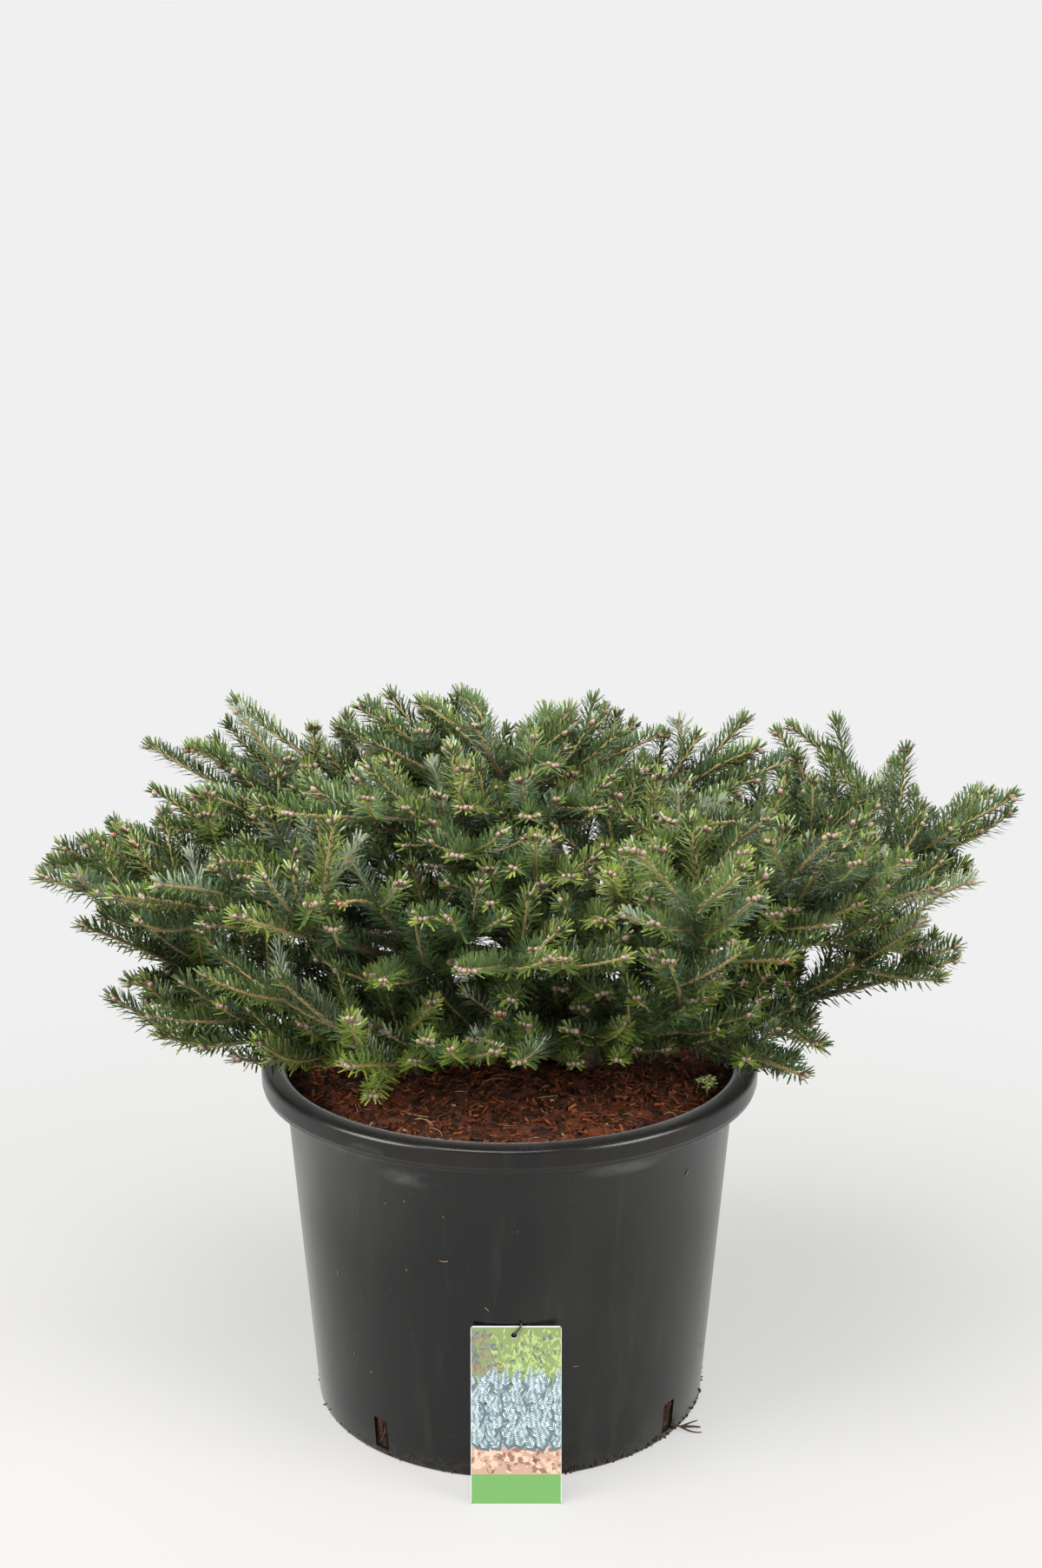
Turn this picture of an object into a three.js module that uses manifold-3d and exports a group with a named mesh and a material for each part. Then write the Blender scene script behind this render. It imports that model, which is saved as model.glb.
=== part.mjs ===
// A Korean fir growing in a round nursery pot: a low, spreading conifer with a short leaning trunk.
// Units are millimetres, +Z is up, and the origin is the centre of the pot's flat underside.
// The trunk and its boughs are plain tapering limbs. Each mass of foliage grows from the end of its
// bough by one seeded rule: a stem, side shoots at its nodes, and a toothed blade for each shoot.

import * as THREE from "three";
import { mergeVertices } from "three/addons/utils/BufferGeometryUtils.js";
import Module from "manifold-3d";

const wasm = await Module();
wasm.setup();

// ---------------------------------------------------------------- driving dimensions

const GAP = 0.3; // clearance between pieces that rest on each other
const WELD = 0.001; // vertices closer than this are one
const FINE = 0.2; // slivers left by fusing are smoothed away up to this size

const POT = {
  sides: 40,
  height: 274.9,
  baseRadius: 151.9, // outside, at the floor
  neckRadius: 173.2, // outside, just under the rim
  rimRadius: 191.0,
  rimDepth: 17.9, // height of the band that stands out at the top
  rimRound: 4.0, // radius of the rim's upper outer edge
  roundStep: 30, // degrees between the profile's points on it
  footStep: 1.0, // how much narrower the rim is at its lower edge
  lipWidth: 3.0, // the rim's flat top slopes in over this width
  lipDrop: 2.0,
  wall: 2.4,
  floor: 3.0,
};
const SLOT = { count: 4, width: 13, bottom: 6, top: 31, depth: 30, firstAzimuth: 231.5 }; // in the wall
const SOIL = {
  moundRadius: 95,
  moundHeight: 272,
  edgeHeight: 263,
  slopeHeight: 268.4, // halfway between the mound and the edge
};

const LABEL = {
  width: 65,
  height: 130.7,
  thickness: 0.8,
  corner: 2,
  cornerSteps: 3,
  holeRadius: 2.1,
  holeFromTop: 6.6,
  holeFromMiddle: -1.5,
  middle: 5.2, // how far the label stands to the right of the pot's axis
  footY: -185.6,
  lean: 9.3, // degrees from upright
};
const TIE = {
  thickness: 1.5,
  slack: 0.42, // between the cord and the card
  drift: 5, // how far it leans aside over the edge
  sides: 6,
  steps: 24,
};

const TRUNK = {
  sides: 9,
  steps: 8,
  flare: 8.5, // how far the root flare stands out at the soil
  flareHeight: 14,
  footRadius: 17.5,
  tipRadius: 6,
  stub: 2,
  path: [[46, -10], [59, 0], [56, 12], [41, 24], [26, 34]], // x and y at even steps up the trunk
  tipHeight: 452,
};

const CROWN = { centreX: 14, centreY: 0, reach: 384, top: 557 };

// Every bough, or leading shoot, of a tier: the azimuth, reach and height of its furthest tip. Azimuth
// is in degrees anticlockwise from +X seen from above, and reach is from the crown's centre.
const TIERS = [
  {
    name: "low",
    foot: [292, 318], // heights at which the boughs leave the trunk, by turns
    share: 0.3, // part of the limb's length that is bare bough
    footRadius: 6.2,
    under: false, // no shoots on the underside, which lies close over the soil
    tips: [
      [351, 328, 370],
      [325, 246, 308],
      [298, 236, 392],
      [268, 226, 352],
      [238, 240, 342],
      [206, 268, 322],
      [178, 316, 330],
      [143, 292, 345],
      [92, 276, 342],
      [38, 300, 350],
    ],
  },
  {
    name: "mid",
    foot: [344, 369],
    share: 0.32,
    footRadius: 5.8,
    under: true,
    tips: [
      [3, 376, 478],
      [333, 322, 452],
      [299, 302, 480],
      [262, 303, 442],
      [230, 304, 458],
      [203, 322, 440],
      [176, 374, 421],
      [154, 352, 488],
      [116, 322, 452],
      [74, 322, 452],
      [29, 362, 466],
    ],
  },
  {
    name: "top",
    foot: [396, 416],
    share: 0.26,
    footRadius: 4.8,
    under: true,
    tips: [
      [147, 292, 524],
      [34, 216, 518],
      [322, 214, 498],
      [238, 166, 508],
    ],
  },
  {
    name: "crest", // short leaders that leave the trunk itself, with no bare bough
    foot: [428, 436, 446],
    share: 0,
    footRadius: 4.2,
    under: false,
    tips: [
      [136, 158, 541],
      [66, 132, 536],
      [200, 44, 543],
    ],
  },
];

const LIMB = {
  sides: 5,
  steps: 4,
  endRadius: 4.4,
  bend: 0.55, // part of its way out where a limb turns upward
  sag: 0.24, // how far it hangs below the straight line there
};
const STEM = {
  sides: 3,
  steps: 3,
  endRadius: 3.2,
  sunk: 4, // how far the leading shoot's blade reaches over the end of the stem
  samples: 24, // points along a stem that stand for it when spaces are shared out
};
const NODES = [0.04, 0.23, 0.42]; // where the side shoots leave a stem, as parts of its length
const TERMINAL = 0.5; // where the needles of the leading shoot start
const SIDE_SHOOT = {
  length: 98,
  ofStem: 0.6, // no longer than this part of the stem
  taper: 0.14, // each node's shoots are shorter by this part
  spans: [0.88, 1.1], // and vary between these parts of their length
  shortest: 34,
  spread: 54, // degrees from the stem
  spreadSpan: 7,
  rolls: [-70, 70, 0], // degrees from straight up, looking along the stem
  rollsBetween: [-90, 90, 20],
  rollUnder: 180, // one more at the middle node, on the tiers that have shoots underneath
  rollSpan: 14,
  stagger: 7, // along the stem between the two shoots of a node
};
const BLADE = {
  halfWidth: 29,
  outline: [0.5, 0.88, 1, 0.72], // how far each tooth stands out, from the stalk to the tip
  raised: [0.6, 1, 0.8, 0.25], // how much of the lift each tooth has
  notch: 0.32, // part of the half width left between teeth
  thinning: 0.6, // part of the spine's thickness lost towards the tip
  sweep: 0.85,
  spine: 1.3, // half the thickness along the middle
  lift: 15,
  stalk: 9,
  sunk: 0.3, // how far the stalk goes into its stem
};
const SPACE_SLACK = 30; // how far a shoot may lean over into the next mass's space
const STEEP = 0.9; // upward part of a shoot's direction past which it counts as upright
const RETRY = { turns: [0, -9, 9], shorter: 0.12 }; // a shoot that finds no room is tried again
const SEED = 47;

const UP = new THREE.Vector3(0, 0, 1);
const RADIANS = Math.PI / 180;

// ---------------------------------------------------------------- helpers

// A small seeded generator, so that the plant grows the same way each time.
const DICE = { multiplier: 16807, modulus: 2147483647, seedStep: 7919, start: 12345 };

function dice(seed) {
  let state = seed * DICE.seedStep + DICE.start;
  return () => {
    state = (state * DICE.multiplier) % DICE.modulus;
    return state / DICE.modulus;
  };
}

function solidOf(geometry) {
  const bare = geometry.index ? geometry.clone() : geometry;
  bare.deleteAttribute("normal");
  bare.deleteAttribute("uv");
  const merged = mergeVertices(bare, WELD);
  return new wasm.Manifold(
    new wasm.Mesh({
      numProp: 3,
      vertProperties: Float32Array.from(merged.attributes.position.array),
      triVerts: Uint32Array.from(merged.index.array),
    }),
  );
}

function geometryOf(solid) {
  const mesh = solid.getMesh();
  const geometry = new THREE.BufferGeometry();
  geometry.setAttribute("position", new THREE.BufferAttribute(mesh.vertProperties, 3));
  geometry.setIndex(new THREE.BufferAttribute(mesh.triVerts, 1));
  geometry.computeVertexNormals();
  return geometry;
}

function lathe(profile, sides) {
  const points = profile.map(([radius, height]) => new THREE.Vector2(radius, height));
  const geometry = new THREE.LatheGeometry(points, sides);
  geometry.rotateX(Math.PI / 2);
  return solidOf(geometry);
}

const polar = (azimuth, radius, height) =>
  new THREE.Vector3(
    CROWN.centreX + radius * Math.cos(azimuth * RADIANS),
    CROWN.centreY + radius * Math.sin(azimuth * RADIANS),
    height,
  );

const mix = (from, to, part) => from + (to - from) * part;

// A closed tapering limb along a curve, from one part of its length to another.
function limb(curve, from, to, radiusAt, sides, steps) {
  const geometry = new THREE.CylinderGeometry(1, 1, 1, sides, steps);
  const rings = [];
  let side = new THREE.Vector3(1, 0.2, 0.1);
  for (let step = 0; step <= steps; step += 1) {
    const part = mix(from, to, step / steps);
    const along = curve.getTangentAt(part);
    side = side.clone().addScaledVector(along, -side.dot(along)).normalize();
    const other = side.clone().cross(along);
    rings.push({ centre: curve.getPointAt(part), side, other, radius: radiusAt(part) });
  }
  const position = geometry.attributes.position;
  const vertex = new THREE.Vector3();
  for (let i = 0; i < position.count; i += 1) {
    vertex.fromBufferAttribute(position, i);
    const ring = rings[Math.round((vertex.y + 0.5) * steps)];
    const place = ring.centre.clone();
    place.addScaledVector(ring.side, vertex.x * ring.radius);
    place.addScaledVector(ring.other, vertex.z * ring.radius);
    position.setXYZ(i, place.x, place.y, place.z);
  }
  return solidOf(geometry);
}

// ---------------------------------------------------------------- pot, soil, label

const wallRadius = (height) => mix(POT.baseRadius, POT.neckRadius, height / (POT.height - POT.rimDepth));

function makePot() {
  const inner = (height) => wallRadius(height) - POT.wall;
  const bandFoot = POT.height - POT.rimDepth;
  const round = [];
  for (let angle = 0; angle <= 90; angle += POT.roundStep) {
    const turn = angle * RADIANS;
    round.push([
      POT.rimRadius - POT.rimRound * (1 - Math.cos(turn)),
      POT.height - POT.rimRound * (1 - Math.sin(turn)),
    ]);
  }
  const profile = [
    [0, 0],
    [POT.baseRadius - POT.wall, 0],
    [wallRadius(POT.wall), POT.wall],
    [POT.neckRadius, bandFoot],
    [POT.rimRadius - POT.footStep, bandFoot],
    ...round,
    [inner(POT.height) + POT.lipWidth, POT.height],
    [inner(POT.height), POT.height - POT.lipDrop],
    [inner(POT.floor), POT.floor],
    [0, POT.floor],
  ];
  let pot = lathe(profile, POT.sides);
  for (let i = 0; i < SLOT.count; i += 1) {
    const cutter = new THREE.BoxGeometry(SLOT.depth, SLOT.width, SLOT.top - SLOT.bottom);
    cutter.translate(POT.baseRadius, 0, (SLOT.top + SLOT.bottom) / 2);
    cutter.rotateZ((SLOT.firstAzimuth + (360 / SLOT.count) * i) * RADIANS);
    pot = pot.subtract(solidOf(cutter));
  }
  return pot;
}

function makeSoil() {
  const inner = (height) => wallRadius(height) - POT.wall - GAP;
  return lathe(
    [
      [0, POT.floor + GAP],
      [inner(POT.floor), POT.floor + GAP],
      [inner(SOIL.edgeHeight), SOIL.edgeHeight],
      [mix(SOIL.moundRadius, inner(SOIL.edgeHeight), 0.5), SOIL.slopeHeight],
      [SOIL.moundRadius, SOIL.moundHeight],
      [0, SOIL.moundHeight],
    ],
    POT.sides,
  );
}

// The label is drawn upright at the origin, its foot at z = 0, and then leaned back on the pot.
function leanLabel(geometry) {
  geometry.rotateX(-LABEL.lean * RADIANS);
  geometry.translate(LABEL.middle, LABEL.footY, GAP);
  return geometry;
}

function makeLabel() {
  const half = LABEL.width / 2;
  const r = LABEL.corner;
  const outline = new THREE.Shape();
  outline.moveTo(-half + r, 0);
  outline.lineTo(half - r, 0);
  outline.absarc(half - r, r, r, -Math.PI / 2, 0);
  outline.absarc(half - r, LABEL.height - r, r, 0, Math.PI / 2);
  outline.absarc(-half + r, LABEL.height - r, r, Math.PI / 2, Math.PI);
  outline.absarc(-half + r, r, r, Math.PI, 1.5 * Math.PI);
  const hole = new THREE.Path();
  const holeHeight = LABEL.height - LABEL.holeFromTop;
  hole.absarc(LABEL.holeFromMiddle, holeHeight, LABEL.holeRadius, 0, 2 * Math.PI, true);
  outline.holes.push(hole);
  const options = { depth: LABEL.thickness, bevelEnabled: false, curveSegments: LABEL.cornerSteps };
  const card = new THREE.ExtrudeGeometry(outline, options);
  card.rotateX(Math.PI / 2);
  card.translate(0, LABEL.thickness / 2, 0);
  return solidOf(leanLabel(card));
}

// The tie is a small closed loop through the label's hole and over its top edge.
function makeTie() {
  const away = LABEL.thickness / 2 + TIE.thickness / 2 + TIE.slack;
  const hole = LABEL.height - LABEL.holeFromTop;
  const over = LABEL.height + TIE.thickness / 2 + TIE.slack;
  const x = LABEL.holeFromMiddle;
  const aside = x + TIE.drift;
  const halfway = [x + TIE.drift / 2, mix(hole, over, 0.5)];
  const shoulder = 0.8 * away; // where the loop turns over the edge
  const route = [
    [x, -away, hole + 1],
    [halfway[0], -away, halfway[1]],
    [aside, -shoulder, over - 0.4],
    [aside, 0, over + 0.5],
    [aside, shoulder, over - 0.4],
    [halfway[0], away, halfway[1]],
    [x, away, hole + 1],
    [x, 0, hole],
  ].map(([px, py, pz]) => new THREE.Vector3(px, py, pz));
  const loop = new THREE.CatmullRomCurve3(route, true);
  const corners = Array.from({ length: TIE.sides }, (_, i) => {
    const turn = (2 * Math.PI * i) / TIE.sides;
    const corner = new THREE.Vector2(Math.cos(turn), Math.sin(turn));
    return corner.multiplyScalar(TIE.thickness / 2);
  });
  const section = new THREE.Shape(corners);
  const options = { steps: TIE.steps, extrudePath: loop, bevelEnabled: false };
  const cord = new THREE.ExtrudeGeometry(section, options);
  return solidOf(leanLabel(cord));
}

// ---------------------------------------------------------------- trunk and boughs

const soilTop = SOIL.moundHeight + GAP;
const trunkCurve = new THREE.CatmullRomCurve3(
  TRUNK.path.map(([x, y], i) => {
    const part = i / (TRUNK.path.length - 1);
    return new THREE.Vector3(x, y, mix(soilTop, TRUNK.tipHeight, part));
  }),
);

function trunkRadius(part) {
  const rise = part * (TRUNK.tipHeight - soilTop);
  return mix(TRUNK.footRadius, TRUNK.tipRadius, part) + TRUNK.flare * Math.exp(-rise / TRUNK.flareHeight);
}

// A short upright stub fills out the leaning foot, which is then cut off flat at the soil.
function makeTrunk(grown) {
  const radiusAt = (part) => trunkRadius(part) + grown;
  const trunk = limb(trunkCurve, 0, 1, radiusAt, TRUNK.sides, TRUNK.steps);
  const stub = new THREE.CylinderGeometry(radiusAt(0), radiusAt(0), TRUNK.stub, TRUNK.sides);
  const [x, y] = TRUNK.path[0];
  stub.rotateX(Math.PI / 2);
  stub.translate(x, y, soilTop + TRUNK.stub / 2);
  return trunk.add(solidOf(stub)).trimByPlane([0, 0, 1], soilTop);
}

function trunkAt(height) {
  return trunkCurve.getPoint((height - soilTop) / (TRUNK.tipHeight - soilTop));
}

// The whole line of a bough and its leading shoot: level at first, then turning up to its tip.
function limbCurve(tier, index) {
  const [azimuth, reach, height] = tier.tips[index];
  const foot = trunkAt(tier.foot[index % tier.foot.length]);
  const tip = polar(azimuth, reach, height);
  const bend = foot.clone().lerp(tip, LIMB.bend);
  bend.z = mix(foot.z, tip.z, LIMB.bend - LIMB.sag);
  return new THREE.QuadraticBezierCurve3(foot, bend, tip);
}

function limbRadius(tier, part) {
  if (part < tier.share) {
    return mix(tier.footRadius, LIMB.endRadius, part / tier.share);
  }
  return mix(LIMB.endRadius, STEM.endRadius, (part - tier.share) / (1 - tier.share));
}

// ---------------------------------------------------------------- foliage

// A toothed blade of needles: a bare stalk, then a thick spine with teeth on both sides that sweep
// forward and lift, so that the blade is a shallow V.
function needleBlade(length, grown) {
  const { outline, raised, notch, sweep, lift, stalk } = BLADE;
  const teeth = outline.length;
  const halfWidth = BLADE.halfWidth + grown;
  const spine = BLADE.spine + grown;
  const pitch = (length - stalk) / teeth;
  const position = [];
  const index = [];
  const add = (x, y, z) => position.push(x, y, z) / 3 - 1;
  const station = (y, width, thick) => ({
    top: add(0, y, thick),
    bottom: add(0, y, -thick),
    sides: [add(-width, y, 0), add(width, y, 0)],
  });
  const face = (a, b, c, turned) => {
    if (a !== b && b !== c && a !== c) {
      index.push(...(turned ? [a, c, b] : [a, b, c]));
    }
  };
  const root = station(0, spine, spine);
  const stations = [station(stalk, spine, spine)];
  for (let i = 1; i < teeth; i += 1) {
    const thin = 1 - (BLADE.thinning * i) / teeth;
    stations.push(station(stalk + i * pitch, halfWidth * notch * thin, spine * thin));
  }
  const tip = add(0, length, 0);
  stations.push({ top: tip, bottom: tip, sides: [tip, tip] });
  face(root.top, root.sides[1], root.bottom, true);
  face(root.top, root.bottom, root.sides[0], true);
  [-1, 1].forEach((hand, side) => {
    ["top", "bottom"].forEach((layer, under) => {
      const turned = (side + under) % 2 === 0;
      face(root[layer], root.sides[side], stations[0].sides[side], turned);
      face(root[layer], stations[0].sides[side], stations[0][layer], turned);
    });
    for (let i = 0; i < teeth; i += 1) {
      const [near, far] = [stations[i], stations[i + 1]];
      const reach = halfWidth * outline[i];
      const tooth = add(hand * reach, stalk + (i + sweep) * pitch, lift * raised[i]);
      ["top", "bottom"].forEach((layer, under) => {
        const turned = (side + under) % 2 === 0;
        face(near[layer], near.sides[side], tooth, turned);
        face(near[layer], tooth, far[layer], turned);
        face(far[layer], tooth, far.sides[side], turned);
      });
    }
  });
  const geometry = new THREE.BufferGeometry();
  geometry.setAttribute("position", new THREE.Float32BufferAttribute(position, 3));
  geometry.setIndex(index);
  return geometry;
}

// Sets a blade along a direction, with its upper side towards the sky. It starts at a distance from
// its root: a little before it, to be sunk in the stem, or further on, to test its clear part.
function placedBlade(shoot, start, grown) {
  const { root, along, length } = shoot;
  const sky = Math.abs(along.z) > STEEP ? root.clone().setZ(0).negate() : UP.clone();
  const normal = sky.addScaledVector(along, -sky.dot(along)).normalize();
  const side = along.clone().cross(normal);
  const frame = new THREE.Matrix4().makeBasis(side, along, normal);
  frame.setPosition(root.clone().addScaledVector(along, start));
  return needleBlade(length - start, grown).applyMatrix4(frame);
}

// The shoots of one mass: the leading one, and those at the nodes of its stem.
function shootsOf(curve, tier, random) {
  const length = curve.getLength() * (1 - tier.share);
  const at = (part) => mix(tier.share, 1, part);
  const root = curve.getPointAt(at(TERMINAL));
  const lead = curve.getPointAt(1).sub(root);
  const shoots = [{ root, along: lead.clone().normalize(), length: lead.length() }];
  for (let node = 0; node < NODES.length; node += 1) {
    const part = at(NODES[node]);
    const stem = curve.getTangentAt(part);
    const level = stem.clone().cross(UP).normalize();
    const above = level.clone().cross(stem);
    const under = tier.under ? [SIDE_SHOOT.rollUnder] : [];
    const rolls = node % 2 === 0 ? SIDE_SHOOT.rolls : [...SIDE_SHOOT.rollsBetween, ...under];
    for (const roll of rolls) {
      const foot = curve.getPointAt(roll < 0 ? part : part + SIDE_SHOOT.stagger / curve.getLength());
      const spread = SIDE_SHOOT.spread + SIDE_SHOOT.spreadSpan * (2 * random() - 1);
      const turn = (roll + SIDE_SHOOT.rollSpan * (2 * random() - 1)) * RADIANS;
      const longest = Math.min(SIDE_SHOOT.length, length * SIDE_SHOOT.ofStem);
      const full = longest * (1 - SIDE_SHOOT.taper * node) * mix(...SIDE_SHOOT.spans, random());
      const away = above.clone().multiplyScalar(Math.cos(turn)).addScaledVector(level, Math.sin(turn));
      shoots.push({ root: foot, stem, away, spread, full });
    }
  }
  return shoots;
}

// A side shoot heads away from its stem. When tried again it is turned and shorter.
function aimed(shoot, attempt) {
  if (!shoot.stem) {
    return shoot;
  }
  const spread = (shoot.spread + RETRY.turns[attempt]) * RADIANS;
  const along = shoot.stem.clone().multiplyScalar(Math.cos(spread));
  along.addScaledVector(shoot.away, Math.sin(spread));
  return { ...shoot, along, length: shoot.full * (1 - RETRY.shorter * attempt) };
}

function distanceToStem(point, stem) {
  return Math.min(...stem.map((place) => place.distanceTo(point)));
}

// A side shoot stays in the crown, and in the space nearer to its own stem than to any other.
function keepsToItsSpace(blade, own, masses) {
  const position = blade.attributes.position;
  const point = new THREE.Vector3();
  for (let i = 0; i < position.count; i += 1) {
    point.fromBufferAttribute(position, i);
    const reach = Math.hypot(point.x - CROWN.centreX, point.y - CROWN.centreY);
    if (point.z > CROWN.top || reach > CROWN.reach) {
      return false;
    }
    const home = distanceToStem(point, masses[own].stem) - SPACE_SLACK;
    if (masses.some((mass, other) => other !== own && distanceToStem(point, mass.stem) < home)) {
      return false;
    }
  }
  return true;
}

const meets = (a, b) => !a.intersect(b).isEmpty();

// Fuses a shoot's blade on its mass where it finds room; a shoot that finds none is left out.
function fuse(shoot, own, masses, wood) {
  const mass = masses[own];
  for (let attempt = 0; attempt < RETRY.turns.length; attempt += 1) {
    const tried = aimed(shoot, attempt);
    const room = solidOf(placedBlade(tried, -BLADE.sunk, GAP));
    const clearPart = solidOf(placedBlade(tried, BLADE.stalk / 2, 0));
    const free =
      tried.length > SIDE_SHOOT.shortest &&
      (!tried.stem || keepsToItsSpace(placedBlade(tried, 0, 0), own, masses)) &&
      !meets(room, wood) &&
      !mass.blades.some((blade) => meets(clearPart, blade)) &&
      !masses.some((other, i) => i !== own && meets(room, other.solid));
    if (free) {
      const blade = solidOf(placedBlade(tried, -BLADE.sunk, 0));
      mass.blades.push(blade);
      mass.solid = mass.solid.add(blade);
      return;
    }
  }
}

function startMass({ curve, tier, number }, trunkWithGap) {
  const start = tier.share === 0 ? 0 : tier.share + GAP / curve.getLength();
  const end = mix(tier.share, 1, TERMINAL) + STEM.sunk / curve.getLength();
  const points = curve.getSpacedPoints(STEM.samples);
  let solid = limb(curve, start, end, (part) => limbRadius(tier, part), STEM.sides, STEM.steps);
  if (tier.share === 0) {
    solid = solid.subtract(trunkWithGap);
  }
  return {
    name: `${tier.name}_foliage_${number}`,
    solid,
    blades: [],
    stem: points.slice(Math.round(tier.share * STEM.samples)),
  };
}

// ---------------------------------------------------------------- assembly

const plant = new THREE.Group();

function addNode(name, solid, color, roughness, metalness = 0) {
  const material = new THREE.MeshStandardMaterial({ color, roughness, metalness });
  const mesh = new THREE.Mesh(geometryOf(solid), material);
  mesh.name = name;
  plant.add(mesh);
}

const potSolid = makePot();
const soilSolid = makeSoil();
const trunk = makeTrunk(0);
const trunkWithGap = makeTrunk(GAP);
addNode("pot", potSolid, 0x1d1e1f, 0.45);
addNode("soil", soilSolid, 0x5a2f1d, 0.95);
addNode("label", makeLabel(), 0x8fa59a, 0.35);
addNode("label_tie", makeTie(), 0x141414, 0.6);
addNode("trunk", trunk, 0x6b5c4b, 0.9);

const branches = TIERS.flatMap((tier) =>
  tier.tips.map((_, i) => ({ tier, curve: limbCurve(tier, i), number: i + 1 })),
);

// Each bough is cut clear of the trunk and of the boughs made before it.
let wood = trunkWithGap;
for (const { tier, curve, number } of branches.filter((branch) => branch.tier.share > 0)) {
  const radiusAt = (grown) => (part) => limbRadius(tier, part) + grown;
  const shaped = (grown) => limb(curve, 0, tier.share, radiusAt(grown), LIMB.sides, LIMB.steps);
  const pieces = shaped(0).subtract(wood).decompose();
  pieces.sort((a, b) => b.volume() - a.volume());
  addNode(`${tier.name}_bough_${number}`, pieces[0], 0x6f6247, 0.85);
  wood = wood.add(shaped(GAP));
}

// The leading shoots come first, so that the crown reaches its outline, and then the side shoots in turn.
const obstacles = wood.add(potSolid).add(soilSolid);
const masses = branches.map((branch) => startMass(branch, trunkWithGap));
const shoots = branches.map(({ curve, tier }, own) => shootsOf(curve, tier, dice(SEED + own)));
const mostShoots = Math.max(...shoots.map((list) => list.length));
for (let turn = 0; turn < mostShoots; turn += 1) {
  shoots.forEach((list, own) => list[turn] && fuse(list[turn], own, masses, obstacles));
}
for (const { name, solid } of masses) {
  addNode(name, solid.simplify(FINE), 0x3c5a3f, 0.7);
}

export default plant;
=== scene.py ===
# %% [markdown]
# # A Korean fir in a nursery pot
#
# The real thing is a low young fir: a short leaning trunk, boughs in tiers that run level and then turn up,
# and needled shoots that end in round buds. It stands in a black plastic pot of bark mix, with a card label.
#
# The CAD model holds each bough and each foliage mass as a plain solid. A mass could keep its solid under a
# rough green material, or carry hair particles, but neither shows the single shoots that make a fir a fir.
# So this lesson grows the shoots one by one with a seeded rule, and gives each its own needles and buds.
# The seed makes every run the same. Sizes are in millimetres, +Z is up, and the origin is the centre of the
# pot's flat underside. Meshes are scaled to metres where they are made.

# %% Set up
import math

import bmesh
import bpy
import numpy as np
from mathutils import Matrix, Vector, noise


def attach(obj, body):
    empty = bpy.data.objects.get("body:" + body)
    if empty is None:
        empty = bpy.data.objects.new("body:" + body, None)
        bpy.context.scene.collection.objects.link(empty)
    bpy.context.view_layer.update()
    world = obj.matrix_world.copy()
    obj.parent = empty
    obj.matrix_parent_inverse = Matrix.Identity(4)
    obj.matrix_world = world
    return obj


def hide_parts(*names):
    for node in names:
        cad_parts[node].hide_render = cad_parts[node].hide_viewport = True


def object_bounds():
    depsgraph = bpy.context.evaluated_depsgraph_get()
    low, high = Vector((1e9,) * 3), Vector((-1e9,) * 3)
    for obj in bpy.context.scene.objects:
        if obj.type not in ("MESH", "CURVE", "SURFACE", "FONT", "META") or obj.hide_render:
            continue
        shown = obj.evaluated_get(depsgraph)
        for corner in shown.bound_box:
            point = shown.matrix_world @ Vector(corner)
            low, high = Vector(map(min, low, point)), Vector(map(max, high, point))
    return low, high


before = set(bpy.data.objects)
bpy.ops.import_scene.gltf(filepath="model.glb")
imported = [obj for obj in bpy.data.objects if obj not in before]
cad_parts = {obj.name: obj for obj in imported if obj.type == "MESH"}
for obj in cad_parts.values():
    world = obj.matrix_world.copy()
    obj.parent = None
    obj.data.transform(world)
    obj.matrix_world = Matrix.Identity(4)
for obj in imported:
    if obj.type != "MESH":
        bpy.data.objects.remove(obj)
cad_low, cad_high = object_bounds()
MM = 0.001
UP = np.array([0.0, 0.0, 1.0])
scene = bpy.context.scene
print(f"The frame has {len(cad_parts)} nodes and is {(cad_high - cad_low).z:.3f} m tall.")

# %% [markdown]
# ## Sizes
#
# A pot is given by a few turned radii and heights, a trunk by its foot, tip and lean, and a bough by where it
# leaves the trunk and where it ends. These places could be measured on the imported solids, but a shoot has to
# leave the very middle of its limb, and a solid only shows its skin. The driving sizes of the CAD source are
# therefore written once more. The tips of a tier are azimuth, reach from the trunk and height.

# %% The sizes of the pot, the label and the limbs
POT = dict(height=274.9, base=151.9, neck=173.2, rim=191.0, rim_depth=17.9, wall=2.4, floor=3.0)
SLOTS = dict(count=4, width=13, bottom=6, top=31, first=231.5)
SOIL = dict(mound=95, mound_height=272, edge_height=263, slope_height=268.4)
LABEL = dict(
    width=65, height=130.7, thickness=0.8, hole_down=6.6, hole_aside=-1.5, middle=5.2, foot=-185.6, lean=9.3,
)
TRUNK = dict(flare=8.5, flare_height=14, foot=17.5, tip=6, top=452)
TRUNK_PATH = [(46, -10), (59, 0), (56, 12), (41, 24), (26, 34)]
CROWN = dict(x=14, y=0, reach=384, top=557)
GAP = 0.3

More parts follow.
